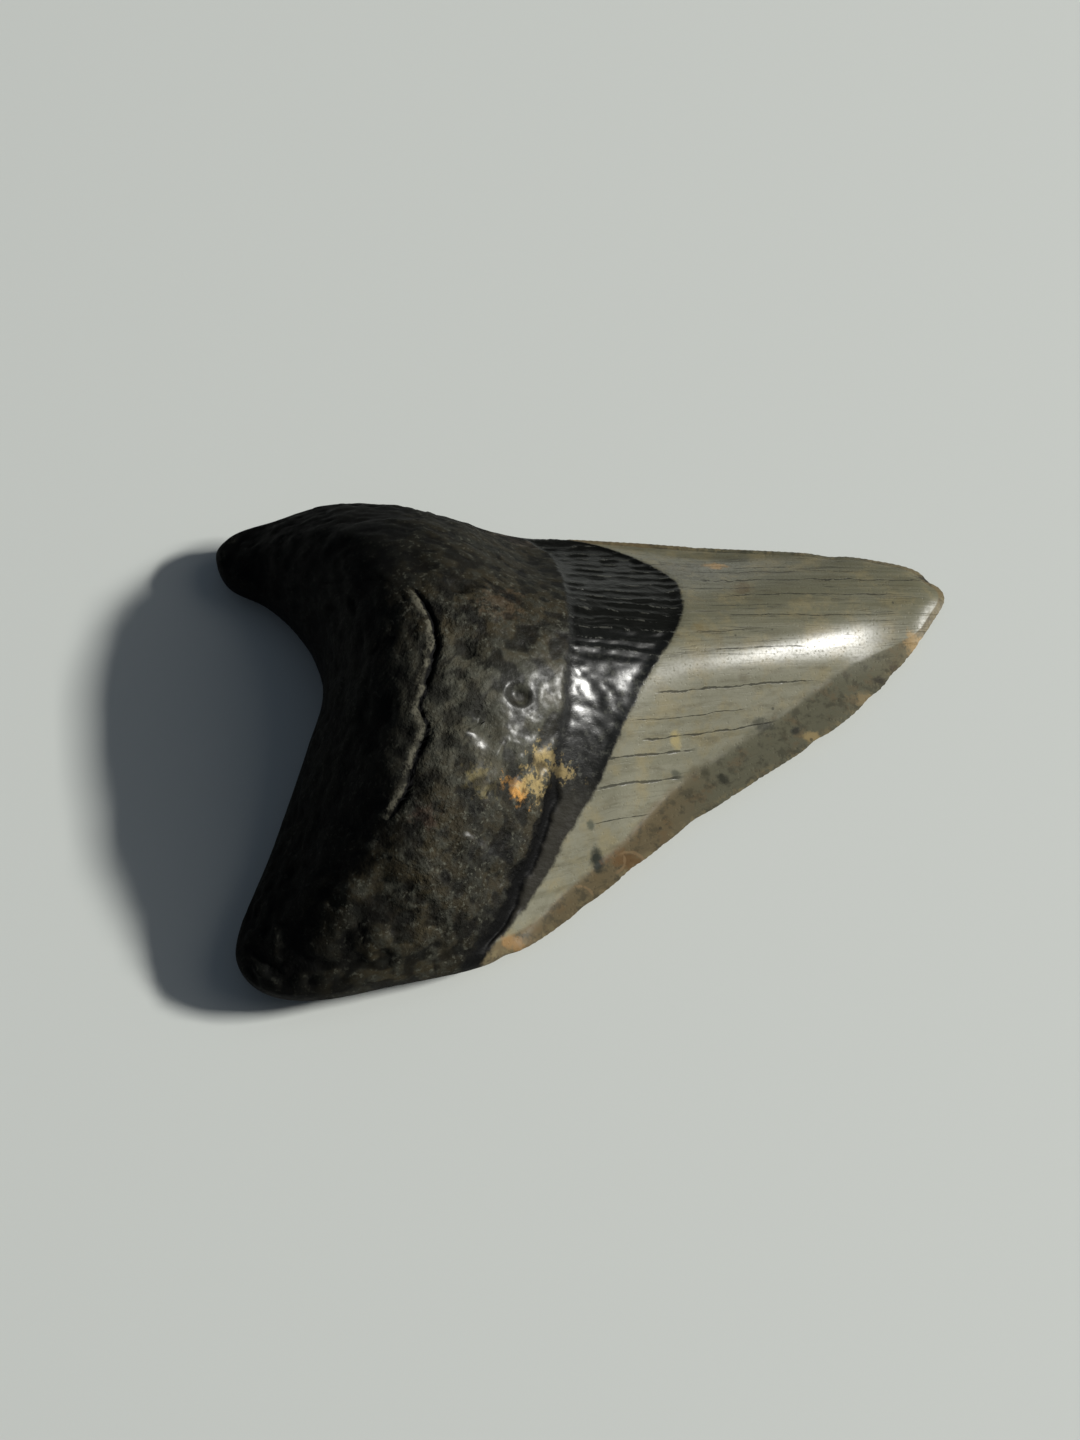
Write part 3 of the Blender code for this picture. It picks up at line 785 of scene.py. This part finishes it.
def crescent_group():
    """A curved mark: 1 near a circle, broken by noise, on the side that the turn in degrees faces."""
    tree, given, place, out = group("crescent", ["X", "Y", "Radius", "Turn", "Width"])
    x, y = offset(tree, place, given)
    far = reckon(tree, "SQRT", plus(tree, x, x, times(tree, y, y)))
    turn = reckon(tree, "RADIANS", given["Turn"])
    facing = times(tree, x, reckon(tree, "COSINE", turn))
    facing = plus(tree, y, reckon(tree, "SINE", turn), facing)
    facing = step_up(tree, reckon(tree, "DIVIDE", facing, given["Radius"]), 0.35, 0.8)
    off = reckon(tree, "ABSOLUTE", reckon(tree, "SUBTRACT", far, given["Radius"]))
    off = plus(tree, swing(tree, place, 0.8), 0.6, off)
    mark = step_up(tree, reckon(tree, "DIVIDE", off, given["Width"]), 1.0, 0.2)
    tree.links.new(times(tree, mark, facing), out)
    return tree


FISSURE, STAIN, SPECKS, CRESCENT = fissure_group(), stain_group(), specks_group(), crescent_group()

# Fissures in the enamel: number of the growth line, where it begins and ends along X, half width, wander.
FISSURES = [
    (1.25, 8.8, 27.5, 0.17, 0.9),
    (-3.5, 7.2, 22.6, 0.12, 0.8),
    (-5.0, 2.9, 12.9, 0.16, 0.5),
    (-7.6, 1.9, 11.4, 0.17, 0.5),
    (6.1, 15.5, 26.5, 0.11, 0.7),
    (11.8, 17.5, 34.8, 0.11, 1.2),
    (16.3, 17.5, 37.5, 0.14, 1.6),
    (20.0, 14.5, 42.0, 0.17, 2.4),
    (23.6, 18.5, 25.5, 0.10, 0.6),
    (22.3, 13.0, 33.5, 0.09, 1.2),
    (14.0, 15.0, 24.0, 0.07, 0.8),
    (9.0, 13.5, 20.0, 0.07, 0.8),
    (18.0, 13.0, 22.0, 0.09, 0.8),
    (-10.9, 1.6, 7.5, 0.06, 0.4),
    (-1.5, 6.0, 19.0, 0.06, 0.6),
]

# Stains and spots: X, Y, half length, half width, raggedness, strength, colour. Those at the border lie on
# bone and neck alike.
BORDER_STAINS = [
    (-4.7, -6.4, 0.9, 1.7, 2.4, 0.75, OCHRE_PALE),
    (-3.9, -5.2, 1.2, 0.8, 2.4, 0.65, OCHRE_PALE),
    (-2.2, -6.0, 1.3, 0.8, 2.4, 0.65, OCHRE_PALE),
]
BONE_STAINS = [
    # The first patch is painted shade in the round pit there.
    (-7.0, -0.1, 0.9, 0.8, 0.5, 0.75, (0.004, 0.004, 0.003, 1)),
    (-7.2, -9.8, 1.3, 1.1, 1.8, 0.95, OCHRE),
    (-5.7, -8.9, 1.3, 1.1, 2.4, 0.80, OCHRE_PALE),
    *BORDER_STAINS,
    (-11.2, -10.4, 1.5, 1.4, 1.8, 0.45, (0.16, 0.13, 0.055, 1)),
    (-9.0, 11.4, 2.4, 2.2, 2.0, 0.22, (0.11, 0.070, 0.038, 1)),
    (-17.2, -15.0, 1.5, 1.3, 1.6, 0.24, (0.085, 0.045, 0.030, 1)),
    (-3.4, -10.9, 0.6, 1.0, 1.2, 0.60, (0.14, 0.055, 0.022, 1)),
    (-5.0, 28.6, 4.0, 1.0, 2.0, 0.35, (0.11, 0.09, 0.07, 1)),
    (-9.5, -25.2, 1.5, 0.9, 1.6, 0.50, (0.20, 0.13, 0.05, 1)),
]
ENAMEL_STAINS = [
    (12.0, 23.6, 4.5, 2.4, 1.4, 0.50, (0.052, 0.050, 0.036, 1)),
    (16.6, 25.4, 1.5, 0.7, 1.0, 0.75, (0.30, 0.17, 0.05, 1)),
    (19.5, 20.4, 1.1, 1.3, 1.4, 0.60, (0.085, 0.060, 0.030, 1)),
    (13.8, 12.7, 0.8, 0.9, 1.2, 0.55, (0.13, 0.10, 0.045, 1)),
    (16.1, 11.4, 0.7, 0.7, 1.2, 0.45, (0.12, 0.10, 0.055, 1)),
    (10.9, 0.1, 0.7, 0.9, 0.6, 0.70, (0.27, 0.22, 0.10, 1)),
    (10.0, 3.2, 1.6, 1.4, 1.6, 0.35, ENAMEL_YELLOW),
    (13.5, 9.2, 1.0, 0.8, 1.6, 0.35, ENAMEL_YELLOW),
    (18.9, 7.6, 0.8, 0.5, 0.8, 0.55, (0.09, 0.08, 0.055, 1)),
    (1.8, -13.5, 0.80, 1.25, 0.45, 0.97, (0.014, 0.016, 0.012, 1)),
    (1.0, -10.4, 0.45, 0.45, 0.5, 0.80, (0.05, 0.055, 0.04, 1)),
    (11.0, -2.9, 0.65, 0.45, 0.6, 0.75, (0.05, 0.052, 0.038, 1)),
    (14.5, -2.0, 0.6, 0.7, 0.6, 0.70, (0.045, 0.042, 0.026, 1)),
    (16.5, -2.8, 0.8, 0.6, 0.9, 0.85, (0.022, 0.022, 0.016, 1)),
    (21.6, 4.0, 1.3, 0.6, 1.0, 0.75, (0.035, 0.035, 0.026, 1)),
    (25.3, 3.5, 0.6, 0.5, 0.6, 0.80, (0.02, 0.02, 0.018, 1)),
    (35.6, 10.6, 0.9, 0.5, 1.2, 0.80, (0.03, 0.026, 0.02, 1)),
    (37.3, 12.4, 0.5, 0.8, 1.2, 0.70, (0.05, 0.04, 0.03, 1)),
    (42.6, 24.9, 1.7, 0.45, 0.8, 0.90, (0.02, 0.02, 0.018, 1)),
    (5.2, -13.1, 2.1, 1.1, 1.0, 0.70, RUST),
    (-7.7, -23.6, 1.3, 0.8, 1.0, 0.60, (0.26, 0.15, 0.06, 1)),
    (27.2, 3.0, 1.3, 0.6, 1.0, 0.60, (0.30, 0.22, 0.10, 1)),
    (33.8, 8.1, 1.6, 0.8, 1.2, 0.55, (0.22, 0.16, 0.08, 1)),
    (40.1, 15.8, 1.1, 1.4, 1.2, 0.60, (0.32, 0.21, 0.09, 1)),
]

# Curved tan marks beside chips: X, Y, radius, the side they lie on in degrees, half width.
CRESCENTS = [
    (0.0, -17.7, 1.3, 60, 0.24),
    (3.6, -13.2, 1.4, -20, 0.22),
    (5.6, -14.0, 1.9, 70, 0.26),
    (-7.9, -24.2, 1.1, 40, 0.24),
]

# The two crests of the bone that are rubbed glossy: X and Y.
CRESTS = [(-11.9, -6.2), (-11.2, -16.8)]

# Where the bone changes, along X and along Y: its front, lit by the lamp, whose back is painted in shade,
# the lobe where the lit front reaches further back, its middle, the dark strip by the groove, the face
# rubbed glossy beside the neck, and the far side, painted darker as shade.
LIT_FRONT_X = (-24.0, -14.0)
LOBE_Y = (-12.0, -21.0)
LOBE_SHIFT = 7.0
MIDDLE_Y = -3.0
MIDDLE_REACH = (11.0, 4.0)
BY_GROOVE_X = (-17.0, -12.0)
BY_GROOVE_Y = (-9.0, -15.0)
RUBBED_X = (-13.5, -7.5)
RUBBED_FROM_Y = (-9.0, -3.0)
RUBBED_TO_Y = (14.0, 6.0)
FAR_SIDE_Y = (6.0, 20.0)

material = bpy.data.materials.new("fossil_tooth")
material.use_nodes = True
tree = material.node_tree
shader = tree.nodes["Principled BSDF"]


def numbers(name):
    """What the mesh keeps at each point under this name."""
    return put(tree, "ShaderNodeAttribute", {}, attribute_name=name).outputs["Fac"]


def mixed(share, under, over):
    """The number under where the share is 0, and the number over where it is 1."""
    return put(tree, "ShaderNodeMix", {0: share, 2: under, 3: over}).outputs[0]


place = put(tree, "ShaderNodeTexCoord", {}).outputs["Object"]
place = put(tree, "ShaderNodeVectorMath", {0: place, "Scale": 1 / MM}, operation="SCALE").outputs[0]
where = put(tree, "ShaderNodeSeparateXYZ", {0: place}).outputs
across = numbers("growth_across")
growth = put(tree, "ShaderNodeCombineXYZ", {0: where["X"], 1: across, 2: 0.0}).outputs[0]
from_rim = numbers("from_rim")


def zone(axis, low, high, bottom=0.0, top=1.0):
    """A smooth step along X or Y."""
    return step_up(tree, where[axis], low, high, bottom, top)


def use(effect, **fill):
    """The mask of a node group, with its inputs filled."""
    return put(tree, "ShaderNodeGroup", fill, node_tree=effect).outputs["Mask"]


def stain_layers(stains):
    """A layer for each stain of the list."""
    for x, y, long, wide, torn, strength, colour in stains:
        mask = use(STAIN, Place=place, X=x, Y=y, Long=long, Wide=wide, Ragged=torn)
        yield times(tree, mask, strength), colour


# Where the bone ends and where the enamel begins, each edge a little ragged.
ragged = swing(tree, place, 0.7)
root_edge = plus(tree, ragged, 0.9, numbers("past_root_border"))
enamel_edge = plus(tree, ragged, 0.70, numbers("past_enamel_border"))
is_bone = step_up(tree, root_edge, 0.35, -0.25)
is_enamel = step_up(tree, enamel_edge, -0.30, 0.20)

# The bone: dark, with brown and grey mottling, palest in the middle. Its back, away from the lamp, and its
# far side are painted black as shade, and grey specks on its crests are painted glints. Its hollows and the
# crack are painted black as shade, beside a pale lip.
mottle = cloud(tree, place, 3.4, detail=4, rough=0.6)
flecks = cloud(tree, place, 1.3, detail=4, rough=0.65)
grains = cloud(tree, place, 0.75, detail=2, rough=0.6)
lobe = zone("Y", *LOBE_Y, 0.0, LOBE_SHIFT)
lit_front = step_up(tree, reckon(tree, "ADD", where["X"], lobe), *LIT_FRONT_X)
far_side = zone("Y", *FAR_SIDE_Y)
from_middle = reckon(tree, "ABSOLUTE", reckon(tree, "ADD", where["Y"], -MIDDLE_Y))
by_groove = zone("Y", *BY_GROOVE_Y, 0.0, 0.35)
# Grey specks on the grains' crests are painted glints, most on the lit front and fewest on the far side.
crumb_glints = step_up(tree, cloud(tree, place, 0.55, detail=3, rough=0.6), 0.56, 0.68)
crumb_glints = times(tree, crumb_glints, step_up(tree, lit_front, 0.0, 0.6, 0.18, 0.65))
crumb_glints = times(tree, crumb_glints, step_up(tree, far_side, 0.0, 1.0, 1.0, 0.55))
past_crack = plus(tree, ragged, 1.5, numbers("from_crack"))
lip = times(tree, step_up(tree, past_crack, -1.30, -0.85), step_up(tree, past_crack, -0.15, -0.32))
crack = reckon(tree, "ABSOLUTE", plus(tree, ragged, 0.3, numbers("from_crack")))
bone = layered(tree, BONE_DARK, [
    (step_up(tree, mottle, 0.38, 0.62, 0.05, 1.0), BONE_BROWN),
    (step_up(tree, flecks, 0.44, 0.66, 0.0, 0.85), BONE_GREY),
    (step_up(tree, from_middle, *MIDDLE_REACH, 0.0, 0.36), SPECK_AND_GLINT_GREY),
    (times(tree, by_groove, zone("X", *BY_GROOVE_X)), BONE_BLACK),
    # Painted shade: the far side darkened with black.
    (times(tree, far_side, 0.60), BONE_BLACK),
    # Painted shade: the back of the bone, away from the lamp, covered in black.
    (times(tree, reckon(tree, "SUBTRACT", 1.0, lit_front), 0.9), BONE_BLACK),
    (crumb_glints, SPECK_AND_GLINT_GREY),
    *stain_layers(BONE_STAINS),
    # Painted shade in the bone's hollows.
    (step_up(tree, numbers("hollow"), 0.10, 0.80, 0.0, 0.75), HOLLOW_SHADE),
    (times(tree, lip, step_up(tree, flecks, 0.42, 0.56, 0.1, 0.95)), LIP_GREY),
    # Painted shade in the crack.
    (step_up(tree, crack, 0.42, 0.16), CLEFT_SHADE),
])

# The neck: near black, with grey patches, and grey painted on the crests of its ribs as a highlight; the
# ribs run along X and are broken into beads. The groove beside the root is painted blackest, as shade.
wave = reckon(tree, "COSINE", times(tree, numbers("across_ribs"), 2 * math.pi / RIB_PITCH))
beads = cloud(tree, stretched(tree, place, 0.7, 0.9), 1.0, detail=3, rough=0.6)
crest = times(tree, step_up(tree, wave, 0.70, 1.0), step_up(tree, beads, 0.50, 0.60))
ribbed = zone("Y", *RIBBED_Y)
patchy = step_up(tree, cloud(tree, place, 0.9, detail=4, rough=0.7), 0.50, 0.68)
neck = layered(tree, NECK_BLACK, [
    # Grey patches, and a painted highlight on the rib crests.
    (mixed(ribbed, patchy, crest), NECK_GREY_AND_GLINT),
    (zone("Y", -5.0, -10.0), NECK_SMOOTH),
    *stain_layers(BORDER_STAINS),
])
# The groove beside the root: painted black as shade in its cleft.
groove = step_up(tree, reckon(tree, "ABSOLUTE", reckon(tree, "SUBTRACT", root_edge, 0.55)), 1.10, 0.40)
groove = times(tree, groove, zone("Y", -5.0, -9.0, 0.55, 1.0))
groove = times(tree, groove, zone("Y", 21.0, 15.0))

# The enamel: pale on the mesial side and olive on the distal, streaked along the growth lines.
streaks = cloud(tree, stretched(tree, growth, 0.07, 1.0), 1.1, detail=4, rough=0.6)
tone = step_up(tree, across, 15.0, 1.0)
tone = plus(tree, reckon(tree, "SUBTRACT", streaks, 0.5), 3.2, tone)
blotches = cloud(tree, place, 4.0, detail=5, rough=0.65)
scuffs = cloud(tree, stretched(tree, growth, 0.30, 1.0), 1.2, detail=5, rough=0.7)

# Fine lines lie where stretched noise crosses its middle, darker on the distal half.
fine = reckon(tree, "ABSOLUTE", swing(tree, stretched(tree, growth, 0.055, 1.15), 1.0, rough=0.45))
broken = step_up(tree, cloud(tree, stretched(tree, growth, 0.18, 0.8), 1.0), 0.46, 0.60)
lines = times(tree, step_up(tree, fine, 0.022, 0.006), broken, step_up(tree, across, 1.0, 9.0, 0.15, 0.6))
for number, start, end, width, wander in FISSURES:
    fill = {"Place": growth, "Line": number, "From": start, "To": end, "Width": width, "Wander": wander}
    lines = reckon(tree, "MAXIMUM", lines, use(FISSURE, **fill))
dots = use(SPECKS, Place=place, Size=1.5, Share=0.10, Radius=0.16)

# The bevelled band along the cutting edge: brown by the root, greenish midway and yellowish at the tip.
band_edge = plus(tree, swing(tree, place, 2.4), 0.35, numbers("into_band"))
is_band = step_up(tree, band_edge, 1.16, 0.92)
rusty = cloud(tree, place, 2.2, detail=5, rough=0.7)
edge_wear = times(tree, step_up(tree, from_rim, 1.1, 0.15), step_up(tree, grains, 0.48, 0.62), 0.6)
band = layered(tree, BAND_BROWN, [
    (zone("X", 8.0, 17.0), BAND_GREEN),
    (zone("X", 34.0, 42.0), BAND_TIP),
    (step_up(tree, rusty, 0.5, 0.68, 0.0, 0.32), RUST),
    (step_up(tree, flecks, 0.48, 0.64, 0.0, 0.60), BAND_DARK),
    (edge_wear, EDGE_TAN),
])
crescents = [
    use(CRESCENT, Place=place, X=x, Y=y, Radius=radius, Turn=turn, Width=half_width)
    for x, y, radius, turn, half_width in CRESCENTS
]
enamel = layered(tree, ENAMEL_OLIVE, [
    (step_up(tree, tone, -0.25, 1.25), ENAMEL_PALE),
    (step_up(tree, blotches, 0.46, 0.68, 0.0, 0.60), ENAMEL_YELLOW),
    (step_up(tree, scuffs, 0.48, 0.68, 0.0, 0.45), ENAMEL_BROWN),
    (step_up(tree, grains, 0.50, 0.68, 0.0, 0.22), ENAMEL_OLIVE),
    (times(tree, is_band, 0.92), band),
    *stain_layers(ENAMEL_STAINS),
    *[(times(tree, mark, 0.6), CRESCENT_TAN) for mark in crescents],
    (times(tree, lines, 0.75), LINE_DARK),
    (times(tree, dots, 0.6), LINE_DARK),
])
colour = layered(tree, neck, [(is_bone, bone), (groove, CLEFT_SHADE), (is_enamel, enamel)])
tree.links.new(colour, shader.inputs["Base Color"])

# Roughness: the bone is half matt, and smoother where it is rubbed. The enamel and most of the neck are
# satin, and the band is duller.
SHINY_NECK_Y = (-7.0, 0.0)


def by_part(neck_number, bone_number, enamel_number):
    """Each part's own number, where that part lies."""
    return mixed(is_enamel, mixed(is_bone, neck_number, bone_number), enamel_number)


rubbed_bone = times(
    tree,
    zone("X", *RUBBED_X),
    zone("Y", *RUBBED_FROM_Y, 0.3, 1.0),
    zone("Y", *RUBBED_TO_Y),
)
bone_matt = step_up(tree, rubbed_bone, 0.0, 1.0, 0.70, 0.50)
bone_matt = reckon(tree, "ADD", step_up(tree, grains, 0.35, 0.65, 0.05, -0.05), bone_matt)
enamel_matt = step_up(tree, cloud(tree, place, 0.5, detail=3), 0.3, 0.7, 0.27, 0.36)
enamel_matt = reckon(tree, "ADD", enamel_matt, times(tree, is_band, 0.16))
neck_matt = zone("Y", *SHINY_NECK_Y, 0.55, 0.30)
tree.links.new(by_part(neck_matt, bone_matt, enamel_matt), shader.inputs["Roughness"])

# The clear skin: thick on the neck's middle and the enamel, where pinholes, fissures and the worn band break
# it, and thin on the bone, where it lies on the rubbed face and the two crests. The groove has little.
pinholes = use(SPECKS, Place=place, Size=0.46, Share=0.35, Radius=0.34)
enamel_skin = times(
    tree,
    plus(tree, pinholes, -0.55, 0.95),
    step_up(tree, cloud(tree, place, 0.32), 0.36, 0.60, 0.62, 1.0),
    plus(tree, lines, -0.9, 1.0),
    plus(tree, is_band, -0.85, 1.0),
    zone("X", 40.0, 33.0, 0.04, 1.0),
    zone("X", 7.0, 17.0, 0.55, 1.0),
)
crests = [use(STAIN, Place=place, X=x, Y=y, Long=2.3, Wide=0.9, Ragged=0.5) for x, y in CRESTS]
bone_skin = reckon(tree, "MAXIMUM", rubbed_bone, times(tree, reckon(tree, "MAXIMUM", *crests), 2.0))
bone_skin = times(tree, step_up(tree, grains, 0.42, 0.62, 0.09, 0.24), bone_skin)
sparks = cloud(tree, stretched(tree, place, 0.6, 1.0), 0.42, detail=3, rough=0.6)
neck_skin = times(
    tree,
    zone("Y", *SHINY_NECK_Y, 0.06, 1.0),
    step_up(tree, beads, 0.3, 0.6, 0.6, 1.0),
    zone("Y", 13.0, 7.0, 0.05, 1.0),
    step_up(tree, sparks, 0.36, 0.48, 0.60, 1.0),
)
skin = times(tree, by_part(neck_skin, bone_skin, enamel_skin), reckon(tree, "SUBTRACT", 1.0, groove))
tree.links.new(skin, shader.inputs["Coat Weight"])

# Fine relief in millimetres: grains, flecks and pores on the bone, lower towards its notch, far side and
# rim and where it is rubbed; small ribs and swells on the neck; streaks, pinholes and fissures on the enamel.
pores = use(SPECKS, Place=place, Size=0.55, Share=0.35, Radius=0.38)
calm = times(
    tree,
    zone("X", -22.0, -15.0, 0.35, 1.0),
    step_up(tree, far_side, 0.0, 1.0, 1.0, 0.02),
    step_up(tree, rubbed_bone, 0.0, 1.0, 1.0, 0.35),
    step_up(tree, from_rim, 0.5, 3.5, 0.3, 1.0),
)
bone_height = plus(tree, grains, 0.26, times(tree, pores, -0.05))
bone_height = times(tree, plus(tree, flecks, 0.40, bone_height), calm)
neck_height = times(tree, cloud(tree, stretched(tree, place, 0.7, 1.2), 0.9, detail=3), 0.12)
neck_height = plus(tree, crest, times(tree, ribbed, 0.10), neck_height)
enamel_height = plus(tree, pinholes, -0.014, times(tree, streaks, 0.018))
enamel_height = plus(tree, cloud(tree, place, 0.6), 0.012, enamel_height)
enamel_height = plus(tree, lines, -0.05, enamel_height)
height = by_part(neck_height, bone_height, enamel_height)
bump = put(tree, "ShaderNodeBump", {"Strength": 1.0, "Distance": MM, "Height": height}).outputs["Normal"]
tree.links.new(bump, shader.inputs["Normal"])
shader.inputs["IOR"].default_value = STONE_IOR
shader.inputs["Coat IOR"].default_value = SKIN_IOR
shader.inputs["Coat Roughness"].default_value = SKIN_ROUGHNESS

mesh.materials.append(material)
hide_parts("tooth")
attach(tooth, "root")

# ----------------------------------------
# The floor. A plain pale sheet with a matt face, flat and wide, that the tooth lies on. It isn't part
# of the tooth.
# ----------------------------------------

FLOOR_HALF = 3.0
FLOOR_DROP = 0.00002
FLOOR_PALE = (0.55, 0.57, 0.545, 1)
FLOOR_ROUGHNESS = 0.7

sheet = bpy.data.meshes.new("floor")
floor_corners = np.array([(-1, -1), (1, -1), (1, 1), (-1, 1)]) * FLOOR_HALF
sheet.from_pydata([(x, y, -FLOOR_DROP) for x, y in floor_corners], [], [(0, 1, 2, 3)])
floor = stood("floor", sheet)
paint = bpy.data.materials.new("floor_pale")
paint.use_nodes = True
matt = paint.node_tree.nodes["Principled BSDF"].inputs
matt["Base Color"].default_value = FLOOR_PALE
matt["Roughness"].default_value = FLOOR_ROUGHNESS
sheet.materials.append(paint)

# ----------------------------------------
# The light and the camera. A low lamp beyond the crown's tip throws the long shadow, with a wide faint
# glow over it, and a dim bluish room fills the shade. The camera looks down from the mesial side.
# ----------------------------------------

# Name, rise in degrees, length and width in metres, watts.
LAMPS = [("lamp", 29, (0.94, 0.375), 432.0), ("glow", 40, (3.4, 3.4), 31.0)]
LAMP_TURN = math.radians(3)
LAMP_DISTANCE = 5.0
LAMP_WHITE = (1.0, 0.99, 0.95)
ROOM_BLUE = (0.62, 0.76, 0.96, 1)
ROOM_LOW = 0.012
ROOM_HIGH = 0.150
BACKDROP = (0.50, 0.52, 0.50, 1)
TARGET = Vector((-0.0047, 0.0020, 0.0080))
CAMERA_RISE = math.radians(62)
CAMERA_DISTANCE = 0.30
LENS = 65.2
SENSOR = 36.0

for name, rise, size, watts in LAMPS:
    lamp_data = bpy.data.lights.new(name, "AREA")
    lamp_data.shape = "RECTANGLE"
    lamp_data.size, lamp_data.size_y = size
    lamp_data.energy = watts
    lamp_data.color = LAMP_WHITE
    lamp = stood(name, lamp_data)
    level = math.cos(math.radians(rise))
    height = math.sin(math.radians(rise))
    way = Vector((level * math.cos(LAMP_TURN), level * math.sin(LAMP_TURN), height))
    lamp.location = way * LAMP_DISTANCE
    lamp.rotation_euler = (-lamp.location).to_track_quat("-Z", "Y").to_euler()

# The room gives more light from above than from its walls, and looks pale behind the floor.
room = bpy.data.worlds.new("room")
room.use_nodes = True
walls = room.node_tree
outlook = put(walls, "ShaderNodeTexCoord", {}).outputs["Generated"]
height = put(walls, "ShaderNodeSeparateXYZ", {0: outlook}).outputs["Z"]
fill = {"Value": height, "From Min": 0.0, "From Max": 1.0, "To Min": ROOM_LOW, "To Max": ROOM_HIGH}
strength = put(walls, "ShaderNodeMapRange", fill).outputs["Result"]
fill_light = walls.nodes["Background"]
fill_light.inputs["Color"].default_value = ROOM_BLUE
walls.links.new(strength, fill_light.inputs["Strength"])
backdrop = put(walls, "ShaderNodeBackground", {"Color": BACKDROP}).outputs[0]
seen = put(walls, "ShaderNodeLightPath", {}).outputs["Is Camera Ray"]
both = put(walls, "ShaderNodeMixShader", {0: seen, 1: fill_light.outputs[0], 2: backdrop}).outputs[0]
walls.links.new(both, walls.nodes["World Output"].inputs["Surface"])
bpy.context.scene.world = room
bpy.context.scene.view_settings.view_transform = "Standard"

eye = bpy.data.cameras.new("camera")
eye.lens = LENS
eye.sensor_width = SENSOR
eye.clip_start = 0.01
camera = stood("camera", eye)
camera.location = TARGET + Vector((0, -math.cos(CAMERA_RISE), math.sin(CAMERA_RISE))) * CAMERA_DISTANCE
camera.rotation_euler = (TARGET - camera.location).to_track_quat("-Z", "Y").to_euler()
bpy.context.scene.camera = camera
